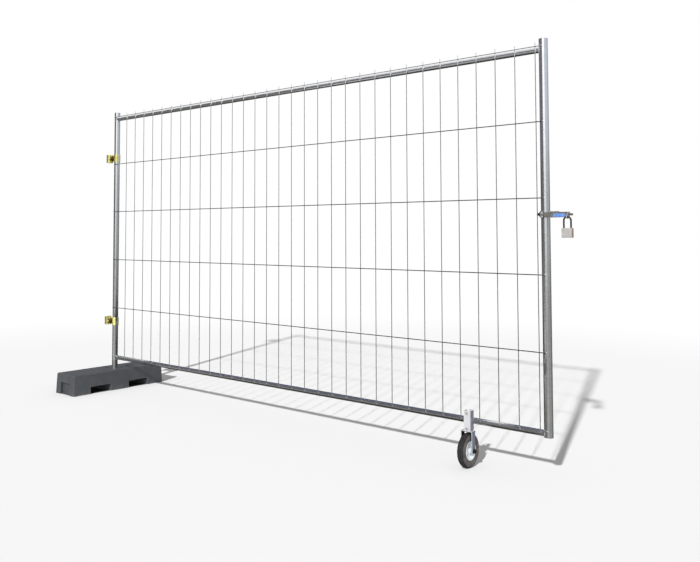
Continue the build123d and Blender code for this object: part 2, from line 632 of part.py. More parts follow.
def latch_keeper():
    """The fixed strap: bent round the latch post, behind both posts, with knuckles and a staple."""
    height = (LATCH_LOW, KEEPER_TOP)
    back_y = (POST_RADIUS, POST_RADIUS + LATCH_BAR_THICKNESS)
    strap = block((LATCH_X, LATCH_X + KEEPER_SHOULDER), back_y, height) + keeper_band()
    lower, middle, upper = knuckle_spans()
    for span in (lower, upper):
        strap = strap + barrel_rod(*span, BARREL_RADIUS)
    strap = strap - barrel_rod(*middle, BARREL_RADIUS + HINGE_CLEARANCE)
    strap = strap - barrel_rod(*height, HINGE_PIN_DIAMETER / 2 + THREAD_CLEARANCE)
    strap = strap - barrel_rod(HASP_TOP, KEEPER_TOP, PIN_HEAD_DIAMETER / 2 + HINGE_CLEARANCE)
    hole_radius = LATCH_BOLT_DIAMETER / 2 + THREAD_CLEARANCE
    strap = strap - rod(on_latch_bolt(-POST_DIAMETER), on_latch_bolt(0), hole_radius)
    return strap + latch_staple()


def latch_staple():
    """The keeper's tongue: round the far post, through the hasp, with the hole for the shackle."""
    x_range = (STAPLE_X - LATCH_BAR_THICKNESS / 2, STAPLE_X + LATCH_BAR_THICKNESS / 2)
    back_y = (POST_RADIUS, POST_RADIUS + LATCH_BAR_THICKNESS)
    tongue_z = (TONGUE_TOP - TONGUE_HEIGHT, TONGUE_TOP)
    left, right = [(x, STAPLE_Y, STAPLE_Z) for x in x_range]
    tongue = block((LATCH_X + KEEPER_SHOULDER, x_range[1]), back_y, tongue_z)
    tongue = tongue + block(x_range, (HASP_FRONT, POST_RADIUS), tongue_z)
    nose = block(x_range, (STAPLE_Y, HASP_FRONT), (STAPLE_Z - STAPLE_EDGE, TONGUE_TOP))
    nose = nose + rod(left, right, STAPLE_EDGE)
    return tongue + nose - rod(left, right, STAPLE_HOLE_DIAMETER / 2)


def latch_bolt():
    """The bolt through the latch post, with its head between the posts."""
    left = -POST_RADIUS - LATCH_BAR_THICKNESS - LATCH_NUT_HEIGHT - LATCH_BOLT_TAIL
    shank = rod(on_latch_bolt(left), on_latch_bolt(POST_RADIUS), LATCH_BOLT_DIAMETER / 2)
    head_end = on_latch_bolt(POST_RADIUS + LATCH_BOLT_HEAD)
    return shank + hexagon(on_latch_bolt(POST_RADIUS), head_end, LATCH_BOLT_WIDTH)


def latch_nut():
    """The nut that draws the keeper against the latch post."""
    right = -POST_RADIUS - LATCH_BAR_THICKNESS
    start, end = on_latch_bolt(right), on_latch_bolt(right - LATCH_NUT_HEIGHT)
    hole = rod(start, end, LATCH_BOLT_DIAMETER / 2 + THREAD_CLEARANCE)
    return hexagon(start, end, LATCH_BOLT_WIDTH) - hole


def latch_hinge_pin():
    """The pin through the latch's hinge knuckles, headed at both ends."""
    pin = barrel_rod(LATCH_LOW, HASP_TOP, HINGE_PIN_DIAMETER / 2)
    pin = pin + barrel_rod(HASP_TOP, HASP_TOP + PIN_HEAD_HEIGHT, PIN_HEAD_DIAMETER / 2)
    return pin + barrel_rod(LATCH_LOW - PIN_HEAD_HEIGHT, LATCH_LOW, PIN_HEAD_DIAMETER / 2)


def latch_hasp():
    """The hinged front bar, with a notch at its free end that closes over the staple."""
    end = STAPLE_X + HASP_END_MARGIN
    hasp = block((BARREL_X, end), (HASP_FRONT, HASP_BACK), (LATCH_LOW, HASP_TOP))
    low, high = knuckle_spans()[1]
    middle = (low + HINGE_CLEARANCE, high - HINGE_CLEARANCE)
    for span in ((LATCH_LOW - PAST, middle[0]), (middle[1], HASP_TOP + PAST)):
        hasp = hasp - barrel_rod(*span, BARREL_RADIUS + HINGE_CLEARANCE)
    hasp = hasp + barrel_rod(*middle, BARREL_RADIUS)
    hasp = hasp - barrel_rod(*middle, HINGE_PIN_DIAMETER / 2 + HINGE_CLEARANCE)
    half_notch = LATCH_BAR_THICKNESS / 2 + STAPLE_SLOT_CLEARANCE
    notch_y = (HASP_FRONT - PAST, HASP_BACK + PAST)
    notch_z = (LATCH_LOW - PAST, TONGUE_TOP + STAPLE_SLOT_CLEARANCE)
    return hasp - block((STAPLE_X - half_notch, STAPLE_X + half_notch), notch_y, notch_z)


def latch_face_plate():
    """The plain plate on the hasp's front."""
    start = LATCH_X + FACE_PLATE_START
    low = LATCH_LOW + FACE_PLATE_RISE
    y_range = (HASP_FRONT - FACE_PLATE_THICKNESS, HASP_FRONT)
    return block((start, start + FACE_PLATE_WIDTH), y_range, (low, low + FACE_PLATE_HEIGHT))


def shackle_x(side):
    """The X place of one of the shackle's two legs."""
    return STAPLE_X + side * SHACKLE_SPACING / 2


def padlock_shackle():
    """The padlock's bow: a short leg, a half circle through the staple and a long leg."""
    spring_z = STAPLE_Z - SHACKLE_SPACING / 2
    short_end = (shackle_x(-1), STAPLE_Y, CASE_TOP - SHACKLE_SHORT_LEG)
    long_end = (shackle_x(1), STAPLE_Y, CASE_TOP - SHACKLE_LONG_LEG)
    rise = Line(short_end, (shackle_x(-1), STAPLE_Y, spring_z))
    bow = ThreePointArc(rise @ 1, (STAPLE_X, STAPLE_Y, STAPLE_Z), (shackle_x(1), STAPLE_Y, spring_z))
    fall = Line(bow @ 1, long_end)
    section = Plane(origin=short_end, z_dir=(0, 0, 1)) * Circle(SHACKLE_DIAMETER / 2)
    return sweep(section, path=rise + bow + fall)


def padlock_case():
    """The padlock's body, bored for both legs of the shackle and for the key plug."""
    half = CASE_WIDTH / 2
    depth = (STAPLE_Y - CASE_DEPTH / 2, STAPLE_Y + CASE_DEPTH / 2)
    case = block((STAPLE_X - half, STAPLE_X + half), depth, (CASE_BOTTOM, CASE_TOP))
    case = fillet(case.edges(), CASE_EDGE)
    bore = SHACKLE_DIAMETER / 2 + PADLOCK_CLEARANCE
    for side, leg in ((-1, SHACKLE_SHORT_LEG), (1, SHACKLE_LONG_LEG)):
        floor = (shackle_x(side), STAPLE_Y, CASE_TOP - leg - CASE_BORE_EXTRA)
        case = case - rod(floor, (shackle_x(side), STAPLE_Y, CASE_TOP + PAST), bore)
    low, high = (STAPLE_X, STAPLE_Y, CASE_BOTTOM - PAST), (STAPLE_X, STAPLE_Y, plug_top())
    return case - rod(low, high, PLUG_DIAMETER / 2 + PADLOCK_CLEARANCE)


def plug_top():
    """The height of the closed end of the bore that the key plug turns in."""
    return CASE_BOTTOM + PLUG_LENGTH + PADLOCK_CLEARANCE


def padlock_plug():
    """The key plug in the padlock's underside, with its keyway."""
    low = (STAPLE_X, STAPLE_Y, CASE_BOTTOM)
    plug = rod(low, (STAPLE_X, STAPLE_Y, CASE_BOTTOM + PLUG_LENGTH), PLUG_DIAMETER / 2)
    half_width, half_height = KEYWAY_WIDTH / 2, KEYWAY_HEIGHT / 2
    way_x = (STAPLE_X - half_height, STAPLE_X + half_height)
    way_y = (STAPLE_Y - half_width, STAPLE_Y + half_width)
    return plug - block(way_x, way_y, (CASE_BOTTOM - PAST, CASE_BOTTOM + KEYWAY_DEPTH))


def all_parts():
    """Every piece of the gate under its own name."""
    parts = {
        "foot_block": foot_block(),
        "hinge_post": hinge_post(),
        "latch_post": latch_post(),
        "top_rail": rail(TOP_RAIL_HEIGHT),
        "bottom_rail": rail(BOTTOM_RAIL_HEIGHT),
        "vertical_wires": vertical_wires(),
        "horizontal_wires": horizontal_wires(),
        "wheel_stem_plate": wheel_stem_plate(),
        "wheel_clamp_plate": wheel_clamp_plate(),
        "wheel_clamp_bolts": wheel_clamp_bolts(),
        "wheel_clamp_nuts": wheel_clamp_nuts(),
        "wheel_fork": wheel_fork(),
        "wheel_axle": wheel_axle(),
        "wheel_axle_nut": wheel_axle_nut(),
        "axle_spacers": axle_spacers(),
        "tyre": tyre(),
        "rim_left": rim_half(-1),
        "rim_right": rim_half(1),
        "rim_rivets": rim_rivets(),
        "wheel_hub": wheel_hub(),
        "wheel_bearing": wheel_bearing(),
        "latch_keeper": latch_keeper(),
        "latch_bolt": latch_bolt(),
        "latch_nut": latch_nut(),
        "latch_hinge_pin": latch_hinge_pin(),
        "latch_hasp": latch_hasp(),
        "latch_face_plate": latch_face_plate(),
        "padlock_shackle": padlock_shackle(),
        "padlock_case": padlock_case(),
        "padlock_plug": padlock_plug(),
    }
    for place, height in (("upper", UPPER_COUPLER_HEIGHT), ("lower", LOWER_COUPLER_HEIGHT)):
        for piece, solid in coupler_parts(height).items():
            parts[f"{place}_coupler_{piece}"] = solid
    return parts


os.makedirs("parts", exist_ok=True)
for name, solid in all_parts().items():
    export_step(solid, f"parts/{name}.step")
    print(name, len(solid.solids()), round(solid.volume, 1))
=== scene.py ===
# %% [markdown]
# # A temporary fence gate, dressed for a picture
# The solids of the gate come in as a fixed frame: every tube, wire, bolt and plate is already in its place,
# in metres. This lesson adds what a solid model lacks: the finish of each metal, plastic and rubber, the
# weld beads, the turned and threaded fasteners and the tread of the tyre. X runs along the closed gate, Y
# goes from front to back, Z is up.

# %% Load the frame and keep its box
import math

import bpy
import numpy as np
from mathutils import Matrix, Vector


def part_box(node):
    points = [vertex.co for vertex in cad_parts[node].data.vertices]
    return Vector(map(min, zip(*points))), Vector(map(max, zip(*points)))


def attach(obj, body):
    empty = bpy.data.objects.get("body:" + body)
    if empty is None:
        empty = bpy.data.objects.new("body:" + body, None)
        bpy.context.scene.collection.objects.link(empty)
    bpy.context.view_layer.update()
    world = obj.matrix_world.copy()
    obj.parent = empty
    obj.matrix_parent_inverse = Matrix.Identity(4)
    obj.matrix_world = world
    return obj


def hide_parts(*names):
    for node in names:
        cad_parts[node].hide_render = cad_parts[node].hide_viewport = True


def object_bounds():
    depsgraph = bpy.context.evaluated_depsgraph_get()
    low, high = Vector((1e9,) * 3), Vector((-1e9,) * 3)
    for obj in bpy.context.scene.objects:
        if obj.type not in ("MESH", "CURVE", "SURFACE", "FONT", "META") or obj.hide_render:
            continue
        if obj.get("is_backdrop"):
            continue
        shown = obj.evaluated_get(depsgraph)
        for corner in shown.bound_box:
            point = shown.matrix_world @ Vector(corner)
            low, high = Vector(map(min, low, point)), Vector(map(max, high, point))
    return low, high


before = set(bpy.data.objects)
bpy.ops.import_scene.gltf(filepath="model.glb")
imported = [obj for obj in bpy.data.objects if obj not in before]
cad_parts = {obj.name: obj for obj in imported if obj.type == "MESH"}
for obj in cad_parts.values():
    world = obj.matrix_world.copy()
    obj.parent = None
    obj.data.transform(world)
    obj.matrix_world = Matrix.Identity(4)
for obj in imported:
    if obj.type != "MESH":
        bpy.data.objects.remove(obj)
cad_low, cad_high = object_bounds()


def middle_and_half(solid):
    """The middle of a solid's box, and half its size."""
    low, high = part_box(solid)
    return (low + high) / 2, (high - low) / 2


print("box:", [round(v, 3) for v in cad_low], [round(v, 3) for v in cad_high])

# %% [markdown]
# ## The camera
# The picture was taken from in front of the free end, at chest height, with the lens off centre: the middle
# of the lens is left of and above the middle of the picture. A shifted camera keeps the posts upright,
# which a tilted one would not. The focal length is given in picture points, so the lens is that number
# scaled to a 36 mm sensor.

# %% Set up the camera
PICTURE_WIDTH = 700
PICTURE_HEIGHT = 562
FOCAL_POINTS = 789.83
LENS_CENTRE = (297.98, 197.29)
CAMERA_PLACE = Vector((5.0948, -3.5658, 1.1646))
CAMERA_YAW = -0.734234
CAMERA_PITCH = 0.046695

lens = bpy.data.cameras.new("gate_camera")
lens.sensor_width = 36.0
lens.lens = FOCAL_POINTS / PICTURE_WIDTH * lens.sensor_width
lens.shift_x = (PICTURE_WIDTH / 2 - LENS_CENTRE[0]) / PICTURE_WIDTH
lens.shift_y = (LENS_CENTRE[1] - PICTURE_HEIGHT / 2) / PICTURE_WIDTH
lens.clip_end = 200.0
camera = bpy.data.objects.new("gate_camera", lens)
camera.location = CAMERA_PLACE
camera.rotation_euler = (math.pi / 2 + CAMERA_PITCH, 0.0, -CAMERA_YAW)
bpy.context.scene.collection.objects.link(camera)
bpy.context.scene.camera = camera
bpy.context.scene.view_settings.view_transform = "Standard"
print("lens:", round(lens.lens, 2), "mm, shift", round(lens.shift_x, 4), round(lens.shift_y, 4))

# %% [markdown]
# ## Recipes for finishes
# A finish is a small sum: a base colour, plus clouds, plus grain, less wear. Wiring that by hand takes many
# nodes, so a small class stands for one socket, and adding or multiplying two of them adds the Math node.
# Colours are mixed with a Mix node, because a Math node would turn them grey.


# %% A socket that can be calculated with
class Shade:
    """One socket of a finish. Sums, differences and products of shades become Math nodes."""

    def __init__(self, tree, socket):
        self.tree = tree
        self.socket = socket

    def node(self, kind, settings=None, sockets=None, output=0):
        """Adds any node: its settings are set first, then the values or links of its sockets."""
        made = self.tree.nodes.new(kind)
        for name, value in (settings or {}).items():
            setattr(made, name, value)
        for key, value in (sockets or {}).items():
            if isinstance(value, Shade):
                self.tree.links.new(value.socket, made.inputs[key])
            else:
                made.inputs[key].default_value = value
        return Shade(self.tree, made.outputs[output])

    def maths(self, operation, first, second):
        """One Math node on two values, either of which may be a plain number."""
        return self.node("ShaderNodeMath", {"operation": operation}, {0: first, 1: second})

    def __add__(self, other):
        return self.maths("ADD", self, other)

    __radd__ = __add__

    def __mul__(self, other):
        return self.maths("MULTIPLY", self, other)

    __rmul__ = __mul__

    def __sub__(self, other):
        return self.maths("SUBTRACT", self, other)

    def __rsub__(self, other):
        return self.maths("SUBTRACT", other, self)


print("sockets add up with", [name for name in dir(Shade) if name.startswith("__r")])


# %% Places and noise
def along(place, axis):
    """One coordinate of a place, in metres."""
    return place.node("ShaderNodeSeparateXYZ", None, {0: place}, axis)


def distance_from(value, middle):
    """How far a value is from a middle, either way."""
    return value.maths("ABSOLUTE", value - middle, 0.0)


def stretch(place, x, y, z):
    """The same place with each direction scaled, so that noise on it is drawn out along the small ones."""
    return place.node("ShaderNodeMapping", {"vector_type": "POINT"}, {"Vector": place, "Scale": (x, y, z)})


def cloud(place, scale, detail=3.0, roughness=0.55):
    """Soft noise from 0 to 1, with scale spots a metre."""
    sockets = {"Vector": place, "Scale": scale, "Detail": detail, "Roughness": roughness}
    return place.node("ShaderNodeTexNoise", None, sockets)


def crystals(place, scale):
    """A number from 0 to 1 for each cell of a cracked pattern, as on zinc that froze in flowers."""
    cells = place.node("ShaderNodeTexVoronoi", {"feature": "F1"}, {"Vector": place, "Scale": scale}, "Color")
    return place.node("ShaderNodeSeparateColor", None, {0: cells})


print("noise tools:", [tool.__name__ for tool in (stretch, cloud, crystals)])


# %% Shares and colours
def between(value, low, high):
    """0 below low, 1 above high and a smooth rise between."""
    return value.node("ShaderNodeMapRange", {"interpolation_type": "SMOOTHSTEP"}, {0: value, 1: low, 2: high})


def waves(value, length):
    """A wave from 0 to 1 with the given length."""
    return between(value.maths("SINE", value * (2.0 * math.pi / length), 0.0), -0.6, 0.8)


def coloured(share, none, full):
    """The colour none where share is 0, and full where it is 1."""
    return share.node("ShaderNodeMix", {"data_type": "RGBA"}, {0: share, 6: (*none, 1.0), 7: (*full, 1.0)}, 2)


def tinted(share, under, over):
    """A colour laid over another finish's colour, by share."""
    return share.node("ShaderNodeMix", {"data_type": "RGBA"}, {0: share, 6: under, 7: (*over, 1.0)}, 2)


print("share tools:", [tool.__name__ for tool in (between, waves, coloured, tinted)])

# %% Rubbed edges and grain
BEVEL_SAMPLES = 6


def edges(place, radius):
    """0 on flat faces, and towards 1 at edges, where the rounded normal departs from the true one."""
    rounded_normal = place.node("ShaderNodeBevel", {"samples": BEVEL_SAMPLES}, {"Radius": radius})
    straight = place.node("ShaderNodeNewGeometry", None, None, "Normal")
    sockets = {0: rounded_normal, 1: straight}
    sameness = place.node("ShaderNodeVectorMath", {"operation": "DOT_PRODUCT"}, sockets, "Value")
    return between(1 - sameness, 0.0, 0.3)


def grain(height, depth, strength=1.0, rounding=0.0):
    """A height as a tilt of the surface. Depth is in metres, and rounding is the radius of soft edges."""
    sockets = {"Height": height, "Distance": depth, "Strength": strength}
    if rounding:
        sockets["Normal"] = height.node("ShaderNodeBevel", {"samples": BEVEL_SAMPLES}, {"Radius": rounding})
    return height.node("ShaderNodeBump", None, sockets)


print("edges and grain look round each point with", BEVEL_SAMPLES, "rays")


# %% From a recipe to a material
def clouded(size, dark, pale, metal, rough, grit, rubbed=None, spread=0.7, coat=0.0):
    """A recipe that many finishes share: clouds between two colours, and roughness from rough[0] up by
    rough[1] with the clouds. Grit is a fine grain's spots a metre, detail, depth and strength. Rubbed is
    the edges' radius, share and colour."""

    def recipe(place):
        clouds = cloud(place, size, 4.0)
        colour = coloured(between(clouds, 0.3, spread), dark, pale)
        if rubbed:
            radius, share, bare = rubbed
            colour = tinted(edges(place, radius) * share, colour, bare)
        spots, detail, depth, strength = grit
        return {
            "Base Color": colour,
            "Metallic": metal,
            "Roughness": rough[0] + clouds * rough[1],
            "Normal": grain(cloud(place, spots, detail), depth, strength),
            "Coat Weight": coat,
        }

    return recipe


def finish(name, recipe):
    """A material whose recipe turns the place on the object into values for the shader's sockets."""
    material = bpy.data.materials.new(name)
    material.use_nodes = True
    tree = material.node_tree
    shader = tree.nodes["Principled BSDF"]
    place = Shade(tree, tree.nodes.new("ShaderNodeTexCoord").outputs["Object"])
    for socket, value in recipe(place).items():
        if isinstance(value, Shade):
            tree.links.new(value.socket, shader.inputs[socket])
        else:
            shader.inputs[socket].default_value = value
    print("finish", name, "with", len(tree.nodes), "nodes")
    return material


print("materials so far:", len(bpy.data.materials))

# %% [markdown]
# ## Shapes from arrays
# Each new piece is a grid of points worked out in one go: rings round a line, or a profile carried along a
# path. The faces follow from the grid's rows and columns, so they need no search. A skin must look
# outwards, and the sign of the volume that it encloses tells whether it does.


# %% Faces of a grid
def full_turn(count):
    """Bearings all round in radians, evenly spaced."""
    return np.linspace(0.0, 2.0 * np.pi, count, endpoint=False)


def strips(rows, columns, close_rows=False, close_columns=False):
    """Four-cornered faces of a grid of points: each joins a point, the next row, and the next column."""
    row = np.arange(rows if close_rows else rows - 1)
    column = np.arange(columns if close_columns else columns - 1)
    row, column = np.meshgrid(row, column, indexing="ij")
    below, right = (row + 1) % rows, (column + 1) % columns
    here, ahead = row * columns, below * columns
    corners = [here + column, ahead + column, ahead + right, here + right]
    return np.stack(corners, axis=-1).reshape(-1, 4)


def outward(points, quads, fans):
    """The same skin, turned round if the wedges from the origin to its faces add up to less than 0."""
    corners = np.vstack([quads[:, :3], quads[:, [0, 2, 3]], fans])
    a, b, c = points[corners].transpose(1, 0, 2)
    if np.sum(a * np.cross(b, c)) < 0:
        quads, fans = quads[:, ::-1], fans[:, ::-1]
    return points, quads, fans


print("a grid of 3 by 4 points has", len(strips(3, 4)), "faces")

# %% Closed skins
NO_FANS = np.zeros((0, 3), int)


def capped(rings):
    """A closed skin over rings of points: strips between them, and a fan to the middle of each end."""
    rows, around, _ = rings.shape
    points = np.vstack([rings.reshape(-1, 3), rings[0].mean(0), rings[-1].mean(0)])
    first = np.arange(around)
    second, last = (first + 1) % around, (rows - 1) * around
    start = np.stack([first, second, np.full(around, rows * around)], axis=-1)
    end = np.stack([last + second, last + first, np.full(around, rows * around + 1)], axis=-1)
    return outward(points, strips(rows, around, close_columns=True), np.vstack([start, end]))


def hooped(rings):
    """A closed skin over rings whose last joins the first, as on a tyre."""
    rows, around, _ = rings.shape
    return outward(rings.reshape(-1, 3), strips(rows, around, True, True), NO_FANS)


def together(*shapes):
    """Several skins as one, with the faces' numbers moved along."""
    starts = np.cumsum([0] + [len(points) for points, _, _ in shapes])
    quads = np.vstack([quads + start for (_, quads, _), start in zip(shapes, starts)])
    fans = np.vstack([fans + start for (_, _, fans), start in zip(shapes, starts)])
    return np.vstack([points for points, _, _ in shapes]), quads, fans


print("a hoop of 3 by 4 points has", len(hooped(np.zeros((3, 4, 3)))[1]), "faces")

# %% From arrays to pieces
CREASE = math.radians(35.0)


def piece(name, shape, material):
    """A new object at the origin, with its place in its mesh, sharp only at edges past the crease."""
    points, quads, fans = shape
    mesh = bpy.data.meshes.new(name)
    mesh.from_pydata(points.tolist(), [], quads.tolist() + fans.tolist())
    mesh.shade_smooth()
    mesh.set_sharp_from_angle(angle=CREASE)
    mesh.materials.append(material)
    made = bpy.data.objects.new(name, mesh)
    bpy.context.scene.collection.objects.link(made)
    print("piece", name, len(points), "points", len(quads) + len(fans), "faces")
    return made


def dress(name, shape, material, body, slot, *solids):
    """A piece that moves with a body, takes the given material and stands for the named solids, if any.
    The slot is not used.
    """
    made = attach(piece(name, shape, material), body)
    if solids:
        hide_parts(*solids)


print("edges sharper than", round(math.degrees(CREASE)), "degrees stay sharp")

# %% [markdown]
# ## Floor, sky and flags
# The gate stands on a pale floor in front of white. A sun from the front and an even white sky light it.
# Near the gate the floor is matt, and a second sun that shines on the floor alone makes the shadow as dark
# as it is out of doors. Farther off, the floor fades to its own plain white for the eye and for
# reflections. Under the foot the floor is painted dark, a painted shade that keeps the tunnels dark. Bare
# metal shows its surroundings, and in an all-white room a tube has no form. A photographer puts dark and
# grey flags and a white card round it, and so do the curved cards here, which only reflections see. Flat
# cards just over the floor do the same from below, where zinc shows the ground it stands on.

# %% White sky and soft sun
SKY_LIGHT = 0.62
SUN_LIGHT = 1.7
SUN_TRAVEL = Vector((-0.285, 0.875, -0.56))
SUN_SPREAD = 1.8
SEEN_RAYS = ("Is Camera Ray", "Is Glossy Ray", "Is Transmission Ray")


def seen_share(tree):
    """1 for what the eye, a reflection or glass looks at, and 0 for light on its way to other things."""
    path = tree.nodes.new("ShaderNodeLightPath").outputs
    eye, gloss, glass = [Shade(tree, path[name]) for name in SEEN_RAYS]
    return eye.maths("MINIMUM", eye + gloss + glass, 1.0)


def sun_lamp(name, energy):
    """A sun in the one direction that gives the shadow."""
    lamp = bpy.data.lights.new(name, "SUN")
    lamp.energy, lamp.angle = energy, math.radians(SUN_SPREAD)
    made = bpy.data.objects.new(name, lamp)
    made.rotation_euler = SUN_TRAVEL.to_track_quat("-Z", "Y").to_euler()
    bpy.context.scene.collection.objects.link(made)
    print("sun", name, round(energy, 2))
    return made


world = bpy.data.worlds.new("white_sky")
world.use_nodes = True
bpy.context.scene.world = world
sky = world.node_tree.nodes["Background"]
sky.inputs["Color"].default_value = (1.0, 1.0, 1.0, 1.0)
sky_strength = SKY_LIGHT + seen_share(world.node_tree) * (1.0 - SKY_LIGHT)
world.node_tree.links.new(sky_strength.socket, sky.inputs["Strength"])
sun_lamp("soft_sun", SUN_LIGHT)

# %% Pale floor
FLOOR_SIZE = 60.0
FLOOR_POINTS = 9
FLOOR_DROP = 0.0005
FLOOR_WHITE = (0.50, 0.50, 0.50)
PAINTED_FOOT_SHADE = (0.05, 0.05, 0.05)
FOOT_EDGE = 0.02
CLEAR_SAMPLES = 16
FLOOR_NEAR = 0.30
FLOOR_OPEN = (0.15, 0.95)
FLOOR_FADE = (3.5, 7.0)
GATE_MIDDLE = (1.7, 0.0, 0.0)

floor_line = np.linspace(-FLOOR_SIZE / 2, FLOOR_SIZE / 2, FLOOR_POINTS)
floor_x, floor_y = np.meshgrid(floor_line, floor_line, indexing="ij")
floor_points = np.stack([floor_x, floor_y, np.full_like(floor_x, -FLOOR_DROP)], axis=-1).reshape(-1, 3)
floor_paint = bpy.data.materials.new("pale_floor")
floor_paint.use_nodes = True
floor_tree = floor_paint.node_tree
floor_tree.nodes.clear()
place = Shade(floor_tree, floor_tree.nodes.new("ShaderNodeTexCoord").outputs["Object"])
clear = place.node("ShaderNodeAmbientOcclusion", {"samples": CLEAR_SAMPLES}, {"Distance": FLOOR_NEAR}, "AO")
far = place.node("ShaderNodeVectorMath", {"operation": "DISTANCE"}, {0: place, 1: GATE_MIDDLE}, "Value")
own_white = seen_share(floor_tree) * between(clear, *FLOOR_OPEN) * between(far, *FLOOR_FADE)
# The floor under the foot is painted dark: a painted shade, so the tunnels under the foot look dark.
foot_middle, foot_half = middle_and_half("foot_block")
inside_x = foot_half.x - distance_from(along(place, "X"), foot_middle.x)
inside_y = foot_half.y - distance_from(along(place, "Y"), foot_middle.y)
foot_shade_share = between(inside_x, 0.0, FOOT_EDGE) * between(inside_y, 0.0, FOOT_EDGE)
matt = place.node("ShaderNodeBsdfDiffuse", None, {"Color": coloured(foot_shade_share, FLOOR_WHITE, PAINTED_FOOT_SHADE)})
white = place.node("ShaderNodeEmission", None, {"Color": (1.0, 1.0, 1.0, 1.0), "Strength": 1.0})
laid = place.node("ShaderNodeMixShader", None, {0: own_white * (1 - foot_shade_share), 1: matt, 2: white})
floor_tree.links.new(laid.socket, floor_tree.nodes.new("ShaderNodeOutputMaterial").inputs["Surface"])
floor_faces = strips(FLOOR_POINTS, FLOOR_POINTS)[:, ::-1]
floor = piece("pale_floor", (floor_points, floor_faces, NO_FANS), floor_paint)
floor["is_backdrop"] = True

# %% A sun for the floor alone
FLOOR_SUN = 3.4

floor_only = bpy.data.collections.new("floor_only")
floor_only.objects.link(floor)
sun_lamp("floor_sun", FLOOR_SUN * SUN_LIGHT).light_linking.receiver_collection = floor_only

# %% Cards that only reflections see
FLAG_RADIUS = 28.0


def flag_card(name, grid, colour):
    """A card of one colour that only reflections see, from a grid of points."""
    rows, columns, _ = grid.shape
    paint = bpy.data.materials.new(name)
    paint.use_nodes = True
    tree = paint.node_tree
    tree.nodes.clear()
    glow = tree.nodes.new("ShaderNodeEmission")
    glow.inputs["Color"].default_value = (*colour, 1.0)
    tree.links.new(glow.outputs[0], tree.nodes.new("ShaderNodeOutputMaterial").inputs["Surface"])
    card = piece(name, (grid.reshape(-1, 3), strips(rows, columns), NO_FANS), paint)
    for kind in ("camera", "diffuse", "shadow", "transmission"):
        setattr(card, "visible_" + kind, False)
    card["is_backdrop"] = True


def upright_flag(name, first, last, heights, colour):
    """An arc round the gate's middle between two bearings in degrees, drawn up between two heights."""
    bearing, height = np.meshgrid(np.radians(np.linspace(first, last, 40)), np.array(heights), indexing="ij")
    middle_x, middle_y, _ = GATE_MIDDLE
    across, deep = middle_x + FLAG_RADIUS * np.cos(bearing), middle_y + FLAG_RADIUS * np.sin(bearing)
    flag_card(name, np.stack([across, deep, height], axis=-1), colour)


def ground_flag(name, x_range, y_range, height, colour):
    """A flat card just over the floor."""
    across, deep = np.meshgrid(np.linspace(*x_range, 6), np.linspace(*y_range, 6), indexing="ij")
    flag_card(name, np.stack([across, deep, np.full_like(across, height)], axis=-1), colour)


def ground_fan(name, middle, first, last, reach, height, colour):
    """A flat card just over the floor between two bearings and two distances from a point."""
    bearing, far = np.meshgrid(np.radians(np.linspace(first, last, 12)), np.array(reach), indexing="ij")
    across, deep = middle[0] + far * np.cos(bearing), middle[1] + far * np.sin(bearing)
    flag_card(name, np.stack([across, deep, np.full_like(across, height)], axis=-1), colour)


print("upright cards stand", FLAG_RADIUS, "m from the middle of the gate")

# %% Flags for the bare metal
LOW_BAND = (-1.0, 4.0)
HIGH_BAND = (4.0, 17.0)
HINGE_FOOT = (0.0, 0.0)
LATCH_FOOT = (3.458, 0.0)
OVER_RAIL_DEPTH = (-0.5, 1.0)

FLAGS = {
    "dark": (112.0, 203.0, (0.050, 0.050, 0.045), (0.150, 0.152, 0.160)),
    "shade": (203.0, 266.0, (0.115, 0.112, 0.105), (0.135, 0.125, 0.165)),
    "grey": (-43.0, 32.0, (0.38, 0.395, 0.405), (0.60, 0.65, 0.72)),
    "dim": (32.0, 112.0, (0.20, 0.21, 0.215), (0.37, 0.39, 0.42)),
}
for name, (first, last, low_colour, high_colour) in FLAGS.items():
    upright_flag(name + "_flag_low", first, last, LOW_BAND, low_colour)
    upright_flag(name + "_flag_high", first, last, HIGH_BAND, high_colour)
upright_flag("white_card_low", 267.0, 315.0, LOW_BAND, (0.72, 0.73, 0.73))
upright_flag("white_card_high", 267.0, 315.0, HIGH_BAND, (1.15, 1.15, 1.15))
ground_flag("paving_flag", (-26.0, 29.0), (-28.0, 28.0), 0.002, (0.150, 0.147, 0.138))
ground_fan("front_fan", LATCH_FOOT, 258.0, 312.0, (0.35, 26.0), 0.003, (0.37, 0.367, 0.36))
ground_fan("right_fan", LATCH_FOOT, 312.0, 385.0, (0.35, 26.0), 0.003, (0.265, 0.267, 0.26))
ground_fan("hinge_fan", HINGE_FOOT, 257.0, 290.0, (0.25, 7.0), 0.005, (0.60, 0.597, 0.59))
ground_fan("hinge_side_fan", HINGE_FOOT, 290.0, 330.0, (0.25, 7.0), 0.005, (0.24, 0.238, 0.23))
ground_flag("olive_flag", (-5.0, 3.3), (-2.3, -0.35), 0.004, (0.150, 0.145, 0.118))
ground_flag("under_flag", (-5.0, 3.3), (-0.35, 8.0), 0.004, (0.022, 0.020, 0.018))
OVER_RAIL = {"left": ((0.06, 2.98), (0.022, 0.020, 0.018)), "right": ((3.10, 3.42), (0.100, 0.097, 0.085))}
for name, (span, brown) in OVER_RAIL.items():
    ground_flag("navy_flag_" + name, span, OVER_RAIL_DEPTH, 0.500, (0.075, 0.085, 0.140))
    ground_flag("brown_flag_" + name, span, OVER_RAIL_DEPTH, 0.505, brown)

# %% [markdown]
# ## Galvanised tube and wire
# The posts and rails are dipped in molten zinc, which freezes in flat crystals a centimetre across, each a
# slightly different grey, with runs along the tube. Cells of a cracked pattern give the crystals, and
# drawn-out noise gives the runs. New zinc is bright, so the crystals only just show. The mesh is drawn
# wire, thinner coated and darker.


